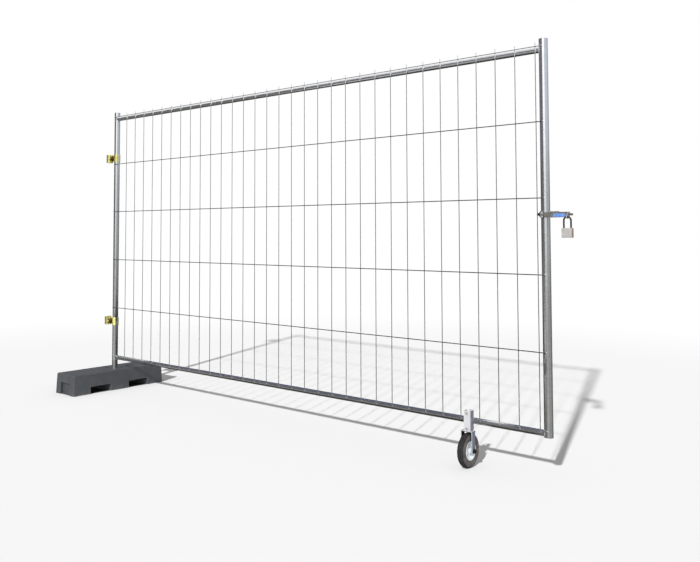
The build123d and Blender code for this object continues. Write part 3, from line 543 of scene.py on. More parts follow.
# %% Zinc on tubes
def tube_zinc(runs):
    """Hot dipped zinc, with its runs drawn out along the given scales of X, Y and Z."""

    def recipe(place):
        flowers = crystals(place, 85.0)
        clouds = cloud(place, 14.0, 4.0)
        streaks = cloud(stretch(place, *runs), 1.0, 3.0)
        tone = between(flowers * 0.30 + clouds * 0.40 + streaks * 0.30, 0.2, 0.8)
        return {
            "Base Color": coloured(tone, (0.78, 0.795, 0.81), (0.87, 0.88, 0.89)),
            "Metallic": 0.97,
            "Roughness": 0.14 + tone * 0.06,
            "Normal": grain(cloud(place, 260.0, 3.0), 0.0003, 0.03),
        }

    return recipe


post_zinc = finish("post_zinc", tube_zinc((120.0, 120.0, 4.0)))
rail_zinc = finish("rail_zinc", tube_zinc((4.0, 120.0, 120.0)))

# %% Zinc on wires and welds
RAIL_BAND = 0.006


def wire_zinc(dull, bright, low_end, high_end):
    """Drawn wire in clouds of two greys, bright outside two heights, where it crosses the rails: zinc
    gathers there, and the brightness is also a painted highlight.
    """

    def recipe(place):
        clouds = cloud(place, 60.0, 4.0)
        base = coloured(between(clouds, 0.3, 0.7), dull, bright)
        height = along(place, "Z")
        # Bright bands at the rails: partly gathered zinc, partly a painted highlight.
        at_foot = 1 - between(height, low_end, low_end + RAIL_BAND)
        at_top = between(height, high_end - RAIL_BAND / 2, high_end + RAIL_BAND / 2)
        return {
            "Base Color": tinted(at_foot + at_top, base, (0.86, 0.87, 0.88)),
            "Metallic": 0.95,
            "Roughness": 0.20 + clouds * 0.12,
            "Normal": grain(cloud(place, 900.0, 2.0), 0.0002, 0.1),
        }

    return recipe


rail_low, rail_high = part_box("top_rail")
low_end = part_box("bottom_rail")[1].z
grey_wire = wire_zinc((0.25, 0.255, 0.26), (0.41, 0.415, 0.42), low_end, rail_low.z)
# The level wires take a darker copy of the wire zinc: a painted shade on them.
shaded_wire = wire_zinc((0.12, 0.123, 0.125), (0.24, 0.243, 0.247), low_end, rail_high.z)
upright_zinc = finish("upright_zinc", grey_wire)
level_zinc = finish("level_zinc", shaded_wire)
WELD_GRIT = (600.0, 3.0, 0.0006, 0.4)
weld_zinc = clouded(220.0, (0.62, 0.63, 0.64), (0.86, 0.87, 0.88), 0.8, (0.30, 0.20), WELD_GRIT)
bead_zinc = finish("bead_zinc", weld_zinc)

# %% [markdown]
# ## Plated plate and fasteners
# The wheel's bracket and the latch are zinc plate with the fine lines of rolling. The couplers are
# passivated to a yellow that shifts between lemon, gold and a little green. Bolts are darker with handling,
# and their edges are rubbed bright, which the difference between a rounded and a true normal finds.

# %% Zinc plate
FORK_SHEET = 0.004
SHADE_EDGE = 0.001
LEG_EDGE = 0.0006


def rolled_plate(dull, bright, metal, side_shade):
    """Zinc plate between two greys, with rolling lines, dull clouds and rubbed edges. Faces along X are
    nearer to the side shade's colour, a painted shade on the plate's sides."""

    def recipe(place):
        lines = cloud(stretch(place, 900.0, 900.0, 30.0), 1.0, 2.0)
        clouds = cloud(place, 45.0, 4.0)
        tone = between(lines * 0.4 + clouds * 0.6, 0.25, 0.75)
        facing = along(place.node("ShaderNodeTexCoord", None, None, "Normal"), "X")
        # Faces along X are tinted towards the side shade: a painted shade on the plate's sides.
        base = tinted(between(facing * facing, 0.4, 0.8), coloured(tone, dull, bright), side_shade)
        return {
            "Base Color": tinted(edges(place, 0.0012) * 0.4, base, (0.88, 0.89, 0.90)),
            "Metallic": metal,
            "Roughness": 0.30 + tone * 0.16,
            "Normal": grain(lines, 0.0002, 0.2, 0.0008),
        }

    return recipe


def fork_plate(place):
    """The fork's blue-grey zinc, painted near black between the legs and under the crown: a painted shade."""
    middle, half = middle_and_half("wheel_fork")
    from_middle = distance_from(along(place, "X"), middle.x)
    leg_inside, fork_top = half.x - FORK_SHEET, middle.z + half.z
    # Between the legs, below the crown, the fork is painted near black: a painted shade.
    below = 1 - between(along(place, "Z"), fork_top - 3 * SHADE_EDGE, fork_top - SHADE_EDGE)
    painted_shade = below * (1 - between(from_middle, leg_inside, leg_inside + LEG_EDGE))
    plate_values = rolled_plate((0.70, 0.73, 0.78), (0.86, 0.88, 0.92), 0.35, (0.27, 0.30, 0.37))(place)
    plate_values["Base Color"] = tinted(painted_shade * 0.95, plate_values["Base Color"], (0.020, 0.019, 0.020))
    return plate_values


pale_plate = rolled_plate((0.76, 0.76, 0.80), (0.88, 0.88, 0.92), 0.25, (0.34, 0.33, 0.40))
grey_plate = rolled_plate((0.44, 0.44, 0.44), (0.64, 0.64, 0.64), 0.50, (0.24, 0.23, 0.22))
brown_plate = rolled_plate((0.17, 0.16, 0.15), (0.36, 0.35, 0.33), 0.60, (0.12, 0.11, 0.10))
plate_zinc = finish("plate_zinc", pale_plate)
latch_zinc = finish("latch_zinc", grey_plate)
hasp_zinc = finish("hasp_zinc", brown_plate)
fork_zinc = finish("fork_zinc", fork_plate)

# %% Yellow couplers
HIGHLIGHT_LEFT = (-0.002, 0.004)
HIGHLIGHT_FRONT = (-0.014, -0.008)
HIGHLIGHT_TOP = (0.9, 1.1)
END_HIGHLIGHT_FROM = 0.0015
END_HIGHLIGHT_TO = 0.0005


def yellow_plate(place):
    """Yellow passivated zinc: lemon and gold in drifts, some green, and a painted highlight low in front."""
    drift = cloud(place, 38.0, 3.0)
    green = between(cloud(stretch(place, 1.0, 1.0, 1.7), 26.0, 2.0), 0.45, 0.72)
    # A bright strip low in front, less metallic and rougher, is a painted highlight.
    highlight_strip = between(along(place, "X"), *HIGHLIGHT_LEFT) * (1 - between(along(place, "Y"), *HIGHLIGHT_FRONT))
    pale_mark = highlight_strip * (1 - between(along(place, "Z"), *HIGHLIGHT_TOP))
    base = coloured(between(drift, 0.3, 0.7), (0.82, 0.72, 0.15), (0.98, 0.94, 0.36))
    plated = tinted(green * (0.4 - pale_mark * 0.4), base, (0.56, 0.55, 0.12))
    return {
        "Base Color": tinted(pale_mark * 0.6, plated, (0.98, 0.93, 0.34)),
        "Metallic": 0.85 - pale_mark * 0.50,
        "Roughness": 0.18 + drift * 0.14 + pale_mark * 0.2,
        "Normal": grain(cloud(place, 500.0, 2.0), 0.0002, 0.2, 0.0010),
    }


def yellow_fastener(place):
    """The couplers' bolts: yellow browned by grease, rubbed at the corners, and pale at the sawn-off end,
    which is bare metal and a painted highlight.
    """
    clouds = cloud(place, 120.0, 4.0)
    nut_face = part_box("upper_coupler_nut")[0].y
    # The pale sawn-off end is partly bare metal, partly a painted highlight.
    sawn_end_highlight = 1 - between(along(place, "Y"), nut_face - END_HIGHLIGHT_FROM, nut_face - END_HIGHLIGHT_TO)
    base = coloured(between(clouds, 0.3, 0.7), (0.085, 0.060, 0.020), (0.30, 0.24, 0.08))
    rubbed = tinted(edges(place, 0.0010) * 0.6, base, (0.80, 0.70, 0.30))
    return {
        "Base Color": tinted(sawn_end_highlight * 0.85, rubbed, (0.86, 0.76, 0.36)),
        "Metallic": 0.85 - sawn_end_highlight * 0.7,
        "Roughness": 0.28 + clouds * 0.2,
        "Normal": grain(cloud(place, 700.0, 2.0), 0.0001, 0.3),
    }


coupler_yellow = finish("coupler_yellow", yellow_plate)
coupler_bolt = finish("coupler_bolt", yellow_fastener)

# %% Tan and dark bolts
FINE_GRIT = (900.0, 2.0, 0.0001, 0.3)
OILY_GRIT = (800.0, 2.0, 0.0001, 0.3)
TAN_EDGES = (0.0008, 0.40, (0.78, 0.75, 0.69))
GREY_EDGES = (0.0008, 0.45, (0.26, 0.26, 0.27))

tan_bolt = clouded(160.0, (0.60, 0.55, 0.49), (0.76, 0.73, 0.68), 0.6, (0.34, 0.20), FINE_GRIT, TAN_EDGES)
black_bolt = clouded(
    140.0, (0.022, 0.022, 0.024), (0.075, 0.068, 0.062), 0.8, (0.34, 0.25), OILY_GRIT, GREY_EDGES, 0.75
)
bolt_zinc = finish("bolt_zinc", tan_bolt)
dark_bolt = finish("dark_bolt", black_bolt)

# %% [markdown]
# ## Moulded foot, rubber and paint
# The foot is recycled plastic: slate grey, faintly mottled, with a fine grain from the mould, dust low down
# and edges scuffed pale by stacking. The tyre is black rubber, brown with dust on its ribs. The rim is pale
# paint.

# %% Moulded plastic
DUST_HEIGHT = 0.05


def foot_plastic(place):
    """Slate grey moulded plastic with mottling, dust near the ground and pale scuffed edges."""
    mottle = cloud(place, 22.0, 5.0, 0.6)
    specks = between(cloud(place, 420.0, 2.0), 0.62, 0.75)
    pale_mark = edges(place, 0.016) * between(cloud(place, 40.0, 5.0), 0.22, 0.60)
    dust = (1 - between(along(place, "Z"), 0.0, DUST_HEIGHT)) * between(cloud(place, 30.0, 5.0), 0.35, 0.75)
    base = coloured(between(mottle, 0.2, 0.8), (0.074, 0.080, 0.087), (0.092, 0.099, 0.107))
    marked = tinted(specks * 0.20, base, (0.16, 0.165, 0.17))
    dusty = tinted(dust * 0.30, marked, (0.20, 0.19, 0.175))
    return {
        "Base Color": tinted(pale_mark * 0.75, dusty, (0.235, 0.242, 0.25)),
        "Roughness": 0.50 + mottle * 0.22,
        "Normal": grain(cloud(place, 520.0, 3.0), 0.0008, 0.30, 0.004),
        "Specular IOR Level": 0.35,
    }


slate_plastic = finish("slate_plastic", foot_plastic)

# %% Dusty rubber
TREAD_FROM = 0.010
TREAD_TO = 0.006
TREAD_WAVE = 0.0075
WALL_WAVE = 0.0095


def tyre_rubber(place):
    """Black rubber with brown dust in clouds, most on the ribs, and a dull grain. The outer wall is painted
    paler, partly dust and partly painted light, and the tread and inner wall carry a painted shade.
    """
    middle, half = middle_and_half("tyre")
    from_axle = place.node("ShaderNodeVectorMath", {"operation": "SUBTRACT"}, {0: place, 1: middle})
    flat = place.node("ShaderNodeVectorMath", {"operation": "MULTIPLY"}, {0: from_axle, 1: (0.0, 1.0, 1.0)})
    radius = place.node("ShaderNodeVectorMath", {"operation": "LENGTH"}, {0: flat}, "Value")
    on_tread = between(radius, half.z - TREAD_FROM, half.z - TREAD_TO)
    ribs = on_tread * waves(along(from_axle, "X"), TREAD_WAVE) + (1 - on_tread) * waves(radius, WALL_WAVE)
    clouds = cloud(place, 75.0, 5.0, 0.65)
    dust = between(clouds, 0.30, 0.70)
    base = coloured(cloud(place, 30.0, 3.0), (0.014, 0.014, 0.015), (0.030, 0.028, 0.028))
    dusty = tinted(dust * 0.35, base, (0.120, 0.103, 0.094))
    ribbed = tinted(ribs * (0.20 + dust * 0.45), dusty, (0.205, 0.175, 0.160))
    # The outer wall is painted paler: partly dust, partly painted light.
    painted_lit_wall = (1 - on_tread) * between(along(from_axle, "X"), 0.0, 0.6 * half.x)
    # The tread and the inner wall are tinted near black: a painted shade.
    shaded = tinted((1 - painted_lit_wall) * 0.62, ribbed, (0.015, 0.015, 0.018))
    return {
        "Base Color": tinted(painted_lit_wall * (0.15 + dust * 0.45), shaded, (0.250, 0.228, 0.220)),
        "Roughness": 0.62 + dust * 0.25,
        "Normal": grain(cloud(place, 700.0, 3.0), 0.0006, 0.35),
        "Specular IOR Level": 0.3,
    }


black_rubber = finish("black_rubber", tyre_rubber)

# %% Pale paint and blue paint
BLUE_EDGES = (0.0010, 0.60, (0.55, 0.62, 0.78))


def rim_paint(place):
    """Pale silver paint with a faint blue, and dull clouds of road film."""
    clouds = cloud(place, 55.0, 4.0)
    film = between(clouds, 0.5, 0.8)
    base = coloured(cloud(place, 20.0, 2.0), (0.88, 0.96, 0.98), (0.96, 0.99, 1.0))
    return {
        "Base Color": tinted(film * 0.5, base, (0.40, 0.68, 0.71)),
        "Metallic": 0.0,
        "Roughness": 0.28 + film * 0.2,
        "Normal": grain(cloud(place, 650.0, 2.0), 0.0002, 0.2, 0.0008),
        "Coat Weight": 0.2,
    }


plain_blue = clouded(
    90.0, (0.10, 0.25, 0.66), (0.19, 0.37, 0.80), 0.0, (0.32, 0.15), OILY_GRIT, BLUE_EDGES, coat=0.3
)
pale_rim = finish("pale_rim", rim_paint)
blue_paint = finish("blue_paint", plain_blue)

# %% [markdown]
# ## Padlock and bearing
# The padlock's case is satin metal brushed up and down, its shackle is hardened dark steel, and the key
# plug is brass. The wheel turns on a nylon bearing.

# %% Padlock metals
CASE_SIDE = 0.0024
TURNING = (1500.0, 2.0, 0.0001, 0.3)


def satin_case(place):
    """Satin metal: upright brush lines on warm grey, pale edges, finger marks, brown narrow sides."""
    middle, half = middle_and_half("padlock_case")
    from_middle = distance_from(along(place, "X"), middle.x)
    sides = between(from_middle, half.x - CASE_SIDE, half.x - CASE_SIDE / 3)
    lines = cloud(stretch(place, 1400.0, 1400.0, 40.0), 1.0, 2.0)
    marks = cloud(place, 70.0, 4.0)
    base = coloured(between(lines * 0.6 + marks * 0.4, 0.3, 0.7), (0.52, 0.495, 0.475), (0.68, 0.655, 0.635))
    pale_mark = tinted(edges(place, 0.0015) * 0.4, base, (0.85, 0.84, 0.82))
    return {
        "Base Color": tinted(sides * 0.9, pale_mark, (0.44, 0.29, 0.25)),
        "Metallic": 0.35,
        "Roughness": 0.34 + marks * 0.18,
        "Normal": grain(lines, 0.0002, 0.25),
    }


def hardened_steel(place):
    """Dark hardened steel with a brown cast and rubbed lines along the legs."""
    lines = cloud(stretch(place, 700.0, 700.0, 25.0), 1.0, 3.0)
    return {
        "Base Color": coloured(between(lines, 0.3, 0.75), (0.030, 0.026, 0.025), (0.115, 0.105, 0.100)),
        "Metallic": 0.85,
        "Roughness": 0.26 + lines * 0.2,
        "Normal": grain(lines, 0.0001, 0.3),
    }


turned_brass = clouded(200.0, (0.40, 0.28, 0.09), (0.70, 0.54, 0.22), 0.95, (0.26, 0.20), TURNING)
case_satin = finish("case_satin", satin_case)
shackle_dark = finish("shackle_dark", hardened_steel)
plug_brass = finish("plug_brass", turned_brass)


# %% Nylon of the bearing
def pale_nylon(place):
    """Pale nylon, slightly yellowed, with a dull mould grain."""
    clouds = cloud(place, 120.0, 3.0)
    return {
        "Base Color": coloured(clouds, (0.58, 0.56, 0.49), (0.74, 0.73, 0.68)),
        "Roughness": 0.42 + clouds * 0.15,
        "Normal": grain(cloud(place, 900.0, 2.0), 0.0002, 0.3),
    }


bearing_nylon = finish("bearing_nylon", pale_nylon)

# %% [markdown]
# ## Paint the solids
# A solid whose shape is right stays, and only its finish changes. Each name is one piece of the gate.

# %% Give every solid its finish
PAINTED = [
    (post_zinc, "hinge_post latch_post"),
    (rail_zinc, "top_rail bottom_rail"),
    (upright_zinc, "vertical_wires"),
    (level_zinc, "horizontal_wires"),
    (slate_plastic, "foot_block"),
    (plate_zinc, "wheel_stem_plate wheel_clamp_plate axle_spacers rim_rivets"),
    (bolt_zinc, "wheel_clamp_bolts wheel_clamp_nuts"),
    (fork_zinc, "wheel_fork"),
    (dark_bolt, "wheel_axle wheel_axle_nut latch_bolt latch_nut latch_hinge_pin"),
    (black_rubber, "tyre"),
    (pale_rim, "rim_left rim_right wheel_hub"),
    (bearing_nylon, "wheel_bearing"),
    (latch_zinc, "latch_keeper"),
    (hasp_zinc, "latch_hasp"),
    (blue_paint, "latch_face_plate"),
    (shackle_dark, "padlock_shackle"),
    (case_satin, "padlock_case"),
    (plug_brass, "padlock_plug"),
    (coupler_yellow, "upper_coupler_front upper_coupler_rear lower_coupler_front lower_coupler_rear"),
    (coupler_bolt, "upper_coupler_bolt upper_coupler_washer upper_coupler_nut"),
    (coupler_bolt, "lower_coupler_bolt lower_coupler_washer lower_coupler_nut"),
]
painted = {name: material for material, names in PAINTED for name in names.split()}
for name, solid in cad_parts.items():
    solid.data.materials.clear()
    solid.data.materials.append(painted[name])
print("painted", len(painted), "of", len(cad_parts), "solids")

# %% [markdown]
# ## Turned, hexagonal and threaded shapes
# A nut or bolt head is a hexagon whose corners are cut by a cone, so at each bearing its radius is the
# lesser of the two. A thread is a radius that goes in and out in a zigzag, moved on by one pitch for each
# turn. Both are rings round a line, with a radius for each ring and bearing, so one function places them
# all.

# %% Rings with a radius for each bearing
AROUND = 48
BEARING = full_turn(AROUND)


def rings_round(start, axis, reach, radius):
    """Rings round a level line: ring i lies reach[i] from start along the axis, and radius[i, j] is its
    radius at bearing j, which is counted from the side towards the top."""
    axis, up = np.array(axis, float), np.array([0.0, 0.0, 1.0])
    spokes = np.cos(BEARING)[:, None] * np.cross(up, axis) + np.sin(BEARING)[:, None] * up
    return np.array(start, float) + reach[:, None, None] * axis + radius[:, :, None] * spokes


def plain(radii):
    """Rings that are round, one for each radius."""
    return np.repeat(np.array(radii, float)[:, None], AROUND, axis=1)


print("a ring has", AROUND, "points")

# %% Hexagons and threads
CONE_START = 0.96
CONE_SLOPE = 1.7
THREAD_DEPTH = 0.55


def six_sided(half_width):
    """A hexagon's radius: half its width over the cosine of the angle from the nearest flat."""
    return half_width / np.cos((BEARING + np.pi / 6) % (np.pi / 3) - np.pi / 6)


def chamfered(reach, half_width):
    """A hexagon cut by a cone at both ends, which starts at a share of the half width."""
    near = np.minimum(reach - reach[0], reach[-1] - reach)
    return np.minimum(six_sided(half_width)[None, :], (CONE_START * half_width + CONE_SLOPE * near)[:, None])


def threaded(reach, radius, pitch):
    """A thread: inwards by a share of the pitch, in a zigzag of the reach in pitches less the turn."""
    turn = (reach[:, None] / pitch - BEARING[None, :] / (2.0 * np.pi)) % 1.0
    return radius - THREAD_DEPTH * pitch * np.abs(2.0 * turn - 1.0)


def fine_ends(length):
    """Places along a length that crowd at both ends, where the chamfers are."""
    return length * np.concatenate([np.linspace(0.0, 0.2, 6), np.linspace(0.8, 1.0, 6)])


print("a hexagon of 20 mm is", round(float(six_sided(10.0).max()) * 2, 2), "mm over its corners")

# %% Heads, nuts and bolts
MOUTH_DEPTH = 0.10
MOUTH_WIDTH = 1.12
MOUTH_BOTTOM = 0.98
DOME_RINGS = 12
THREAD_TAPER = 0.6
THREAD_RINGS = 6


def nut(start, axis, length, half_width, bore):
    """A chamfered nut from start along the axis, with a countersunk mouth at the far face."""
    reach = fine_ends(length)
    mouth = np.array([length, length - MOUTH_DEPTH * bore])
    radius = np.concatenate([chamfered(reach, half_width), plain([MOUTH_WIDTH * bore, MOUTH_BOTTOM * bore])])
    return capped(rings_round(start, axis, np.concatenate([reach, mouth]), radius))


def hexagon_head(height, half_width):
    """The rings of a chamfered hexagon head: the reach of each, and its radii."""
    reach = fine_ends(height)
    return reach, chamfered(reach, half_width)


def domed_head(height, radius):
    """The rings of a round head: the radius goes with the sine, and the reach with the cosine."""
    angle = np.radians(np.linspace(4.0, 90.0, DOME_RINGS))
    return height * (1.0 - np.cos(angle)) ** 0.9, plain(radius * np.sin(angle))


def bolt(start, axis, head, shank, thread, radius, pitch):
    """A head's rings from start, then a plain shank, then a thread that tapers in its last pitch."""
    head_reach, head_radii = head
    shank_reach = head_reach[-1] + np.array([0.0, shank])
    screw_reach = shank_reach[-1] + np.arange(0.0, thread, pitch / THREAD_RINGS)
    taper = radius - THREAD_TAPER * pitch + screw_reach[-1] - screw_reach
    screw = np.minimum(threaded(screw_reach, radius, pitch), taper[:, None])
    reach = np.concatenate([head_reach, shank_reach, screw_reach])
    radii = np.concatenate([head_radii, plain([radius, radius]), screw])
    return capped(rings_round(start, axis, reach, radii))


print("each turn of a thread has", THREAD_RINGS, "rings")

# %% [markdown]
# ## Nuts and bolts
# Every fastener stands where its solid stands, so its place and size are read from the solid's box: a nut's
# width is the box's narrow side, because the corners point up. The couplers' bolts have round heads behind
# and nuts in front.

# %% Coupler bolts and nuts
COUPLER_BOLT_RADIUS = 0.008
COUPLER_PITCH = 0.002
COUPLER_DOME = 0.007

for side in ("upper", "lower"):
    low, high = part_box(side + "_coupler_nut")
    middle = (low + high) / 2
    half_width, tall = (high.x - low.x) / 2, high.y - low.y
    shape = nut((middle.x, high.y, middle.z), (0, -1, 0), tall, half_width, COUPLER_BOLT_RADIUS)
    dress(side + "_hex_nut", shape, coupler_bolt, "base", "yellow_bolts", side + "_coupler_nut")
    bolt_low, bolt_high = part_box(side + "_coupler_bolt")
    thread = high.y - bolt_low.y
    shank = bolt_high.y - bolt_low.y - COUPLER_DOME - thread
    start = (middle.x, bolt_high.y, middle.z)
    head = domed_head(COUPLER_DOME, (bolt_high.x - bolt_low.x) / 2)
    shape = bolt(start, (0, -1, 0), head, shank, thread, COUPLER_BOLT_RADIUS, COUPLER_PITCH)
    dress(side + "_round_bolt", shape, coupler_bolt, "base", "yellow_bolts", side + "_coupler_bolt")

# %% Bracket fasteners
BRACKET_BOLT_RADIUS = 0.004
BRACKET_HEAD = 0.0053
BRACKET_PITCH = 0.00125
THREAD_SPARE = 0.006

low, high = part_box("wheel_clamp_bolts")
nut_low, nut_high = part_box("wheel_clamp_nuts")
half_width, middle_x = (high.x - low.x) / 2, (high.x + low.x) / 2
corner = half_width / math.cos(math.pi / 6)
thread = high.y - nut_low.y + THREAD_SPARE
shank = high.y - low.y - BRACKET_HEAD - thread
levels = (low.z + corner, high.z - corner)
sizes = (hexagon_head(BRACKET_HEAD, half_width), shank, thread, BRACKET_BOLT_RADIUS, BRACKET_PITCH)
bolts = [bolt((middle_x, low.y, z), (0, 1, 0), *sizes) for z in levels]
dress("clamp_bolt_pair", together(*bolts), bolt_zinc, "gate_leaf", "bolt_zinc", "wheel_clamp_bolts")
tall = nut_high.y - nut_low.y
nuts = [nut((middle_x, nut_low.y, z), (0, 1, 0), tall, half_width, BRACKET_BOLT_RADIUS) for z in levels]
dress("clamp_nut_pair", together(*nuts), bolt_zinc, "gate_leaf", "bolt_zinc", "wheel_clamp_nuts")

# %% Axle and latch fasteners
M12_RADIUS = 0.006
M12_PITCH = 0.00175

for bolt_name, nut_name, bolt_solid, nut_solid, facing, head_height in (
    ("axle_bolt", "axle_hex_nut", "wheel_axle", "wheel_axle_nut", 1, 0.0070),
    ("latch_screw", "latch_hex_nut", "latch_bolt", "latch_nut", -1, 0.0075),
):
    ends, nut_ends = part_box(bolt_solid)[::facing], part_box(nut_solid)[::facing]
    middle = (nut_ends[0] + nut_ends[1]) / 2
    half_width, tall = abs(nut_ends[1].y - nut_ends[0].y) / 2, abs(nut_ends[1].x - nut_ends[0].x)
    thread = abs(ends[1].x - nut_ends[0].x)
    shank = abs(ends[1].x - ends[0].x) - head_height - thread
    head = hexagon_head(head_height, half_width)
    shape = bolt((ends[0].x, middle.y, middle.z), (facing, 0, 0), head, shank, thread, M12_RADIUS, M12_PITCH)
    dress(bolt_name, shape, dark_bolt, "gate_leaf", "dark_steel", bolt_solid)
    shape = nut((nut_ends[0].x, middle.y, middle.z), (facing, 0, 0), tall, half_width, M12_RADIUS)
    dress(nut_name, shape, dark_bolt, "gate_leaf", "dark_steel", nut_solid)

# %% [markdown]
# ## Tyre and rim
# The tyre is one profile carried round the axle. The tread falls away from the middle by a power of the
# width, two grooves are cut in it, and its shoulders are notched by a wave of the bearing. The rim is
# pressed from sheet, so each corner of its profile is a short curve: a quarter bend through two points on
# the sides, pulled towards the corner.

# %% Treaded tyre
NOTCHES = 40
NOTCH_DEPTH = 0.0018
NOTCH_EDGE = (0.12, 0.20)
NOTCH_POINTS = 8
TREAD_FALL = 0.009
FALL_POWER = 3.2
GROOVE_PLACE = 0.006
GROOVE_DEPTH = 0.0025
GROOVE_EDGE = (0.0011, 0.0017)
SHOULDER_PLACE = (0.0100, 0.0112)
SHOULDER_RADIUS = (0.066, 0.070)
WALL_RIB = 0.0010
WALL_RIBS = 3
WALL_END = 0.0075
BEAD_WIDTH = 0.004
BEAD_STEPS = np.array([0.0044, 0.0020, 0.0, 0.0])
TREAD_POINTS = 73
WALL_POINTS = 26
LIP_HEIGHT = 0.004
SHEET = 0.0025

axle_place, tyre_half = middle_and_half("tyre")
tyre_radius, half_tyre = tyre_half.z, tyre_half.x
rim_middle, rim_half = middle_and_half("rim_right")
lip_radius = rim_half.z
bead_radius, half_bead = lip_radius - LIP_HEIGHT, rim_middle.x + rim_half.x - axle_place.x - SHEET


def step(value, low_end, high_end):
    """0 below the low end, 1 above the high end and a smooth rise between."""
    share = np.clip((value - low_end) / (high_end - low_end), 0.0, 1.0)
    return share * share * (3.0 - 2.0 * share)


def tyre_rings(around):
    """Rings across the tyre's section, each carried round the axle. Across the tread the radius falls by a
    power of the width, less grooves and notches. The walls carry low ribs, which are a squared sine."""
    across = np.linspace(-half_tyre, half_tyre, TREAD_POINTS)
    fall = TREAD_FALL * np.abs(across / half_tyre) ** FALL_POWER
    groove = GROOVE_DEPTH * (1.0 - step(np.abs(np.abs(across) - GROOVE_PLACE), *GROOVE_EDGE))
    tread = tyre_radius - fall - groove
    height = np.linspace(0.0, 1.0, WALL_POINTS)[1:-1]
    wall_radius = tread[-1] + (bead_radius + WALL_END - tread[-1]) * height
    wall = half_tyre - WALL_RIB * np.sin(WALL_RIBS * np.pi * height) ** 2
    bead_x = np.array([half_bead, half_bead, half_bead, half_bead - BEAD_WIDTH])
    bead = bead_radius + BEAD_STEPS
    reach = np.concatenate([across, wall, bead_x, -bead_x[::-1], -wall[::-1]])
    radius = np.concatenate([tread, wall_radius, bead, bead[::-1], wall_radius[::-1]])
    bearing = full_turn(around)
    wave = (NOTCHES * bearing / (2.0 * np.pi)) % 1.0
    notch = NOTCH_DEPTH * (1.0 - step(np.abs(wave - 0.5), *NOTCH_EDGE))
    shoulder = step(np.abs(reach), *SHOULDER_PLACE) * step(radius, *SHOULDER_RADIUS)
    full = radius[:, None] - shoulder[:, None] * notch[None, :]
    x = np.broadcast_to(axle_place.x + reach[:, None], full.shape)
    y, z = axle_place.y + full * np.cos(bearing), axle_place.z + full * np.sin(bearing)
    return np.stack([x, y, z], axis=-1)


shape = hooped(tyre_rings(NOTCHES * NOTCH_POINTS))
dress("treaded_tyre", shape, black_rubber, "wheel", "tyre_rubber", "tyre")


# %% Pressed rim halves
def rounded_profile(corners, bend, steps=5):
    """A closed outline with every corner bent: between points a bend away on both sides, the curve is the
    sum of the first times (1 - t) squared, the corner times 2 t (1 - t) and the second times t squared."""
    before, after = np.roll(corners, 1, axis=0) - corners, np.roll(corners, -1, axis=0) - corners
    back, ahead = np.linalg.norm(before, axis=1, keepdims=True), np.linalg.norm(after, axis=1, keepdims=True)
    first = corners + before / back * np.minimum(bend, 0.45 * back)
    second = corners + after / ahead * np.minimum(bend, 0.45 * ahead)
    t = np.linspace(0.0, 1.0, steps)[None, :, None]
    curve = first[:, None] * (1 - t) ** 2 + corners[:, None] * 2 * t * (1 - t) + second[:, None] * t ** 2
    return curve.reshape(-1, 2)


SHEET_BEND = 0.004
hub_radius = middle_and_half("wheel_hub")[1].z
well, edge = bead_radius - SHEET, half_bead
RIM_CORNERS = np.array([
    (0.0, hub_radius), (SHEET, hub_radius), (SHEET, well), (edge + SHEET, well),
    (edge + SHEET, lip_radius), (edge, lip_radius), (edge, bead_radius), (0.0, bead_radius),
])
outline = rounded_profile(RIM_CORNERS, SHEET_BEND)
for side, name in ((-1, "rim_left"), (1, "rim_right")):
    rings = rings_round(axle_place, (1, 0, 0), side * outline[:, 0], plain(outline[:, 1]))
    dress("pressed_" + name, hooped(rings), pale_rim, "wheel", "rim_paint", name)

# %% [markdown]
# ## Round tubes and wires
# A solid comes as flat facets, which show as stripes on bright zinc, so the tubes and wires are drawn again
# with smooth sides. A tube is a loop of six rings: along the outside with broken edges, and back through
# the bore. The rails' ends are cut to the saddle line: out from a post's middle by the root of its radius
# squared less the distance to the side squared.

# %% Posts and rails
POST_WALL = 0.002
RAIL_WALL = 0.0015
BROKEN_EDGE = 0.0006
ROUND = full_turn(72)

post_radius = middle_and_half("hinge_post")[1].x
latch_x = middle_and_half("latch_post")[0].x


def saddle(y):
    """How far from a post's middle line a rail's side meets the post, at a distance y to the side."""
    return np.sqrt(post_radius ** 2 - y ** 2)


def tube_rows(outer, wall):
    """The loop of a tube's rings: the end of each, 0 or 1, its distance from there, and its radius."""
    at_end = np.array([0, 0, 1, 1, 1, 0])[:, None]
    inset = BROKEN_EDGE * np.array([0, 1, -1, 0, 0, 0])[:, None]
    radius = outer - np.array([BROKEN_EDGE, 0.0, 0.0, BROKEN_EDGE, wall, wall])[:, None]
    return at_end, inset, radius


for name, post_x in (("hinge_post", 0.0), ("latch_post", latch_x)):
    low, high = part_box(name)
    at_end, inset, radius = tube_rows(post_radius, POST_WALL)
    x, y = post_x + radius * np.cos(ROUND), radius * np.sin(ROUND)
    z = np.broadcast_to(low.z + (high.z - low.z) * at_end + inset, x.shape)
    shape = hooped(np.stack([x, y, z], axis=-1))
    dress("round_" + name, shape, post_zinc, "gate_leaf", "galvanised_steel", name)
for name in ("top_rail", "bottom_rail"):
    rail, half = middle_and_half(name)
    at_end, inset, radius = tube_rows(half.z, RAIL_WALL)
    y, z = rail.y + radius * np.cos(ROUND), rail.z + radius * np.sin(ROUND)
    x = inset + np.where(at_end == 1, latch_x - saddle(y), saddle(y))
    shape = hooped(np.stack([x, y, z], axis=-1))
    dress("round_" + name, shape, rail_zinc, "gate_leaf", "galvanised_steel", name)

# %% Wires of the mesh
UPRIGHT_WIRES = 32
LEVEL_WIRES = 6
WIRE_SIDES = full_turn(12)


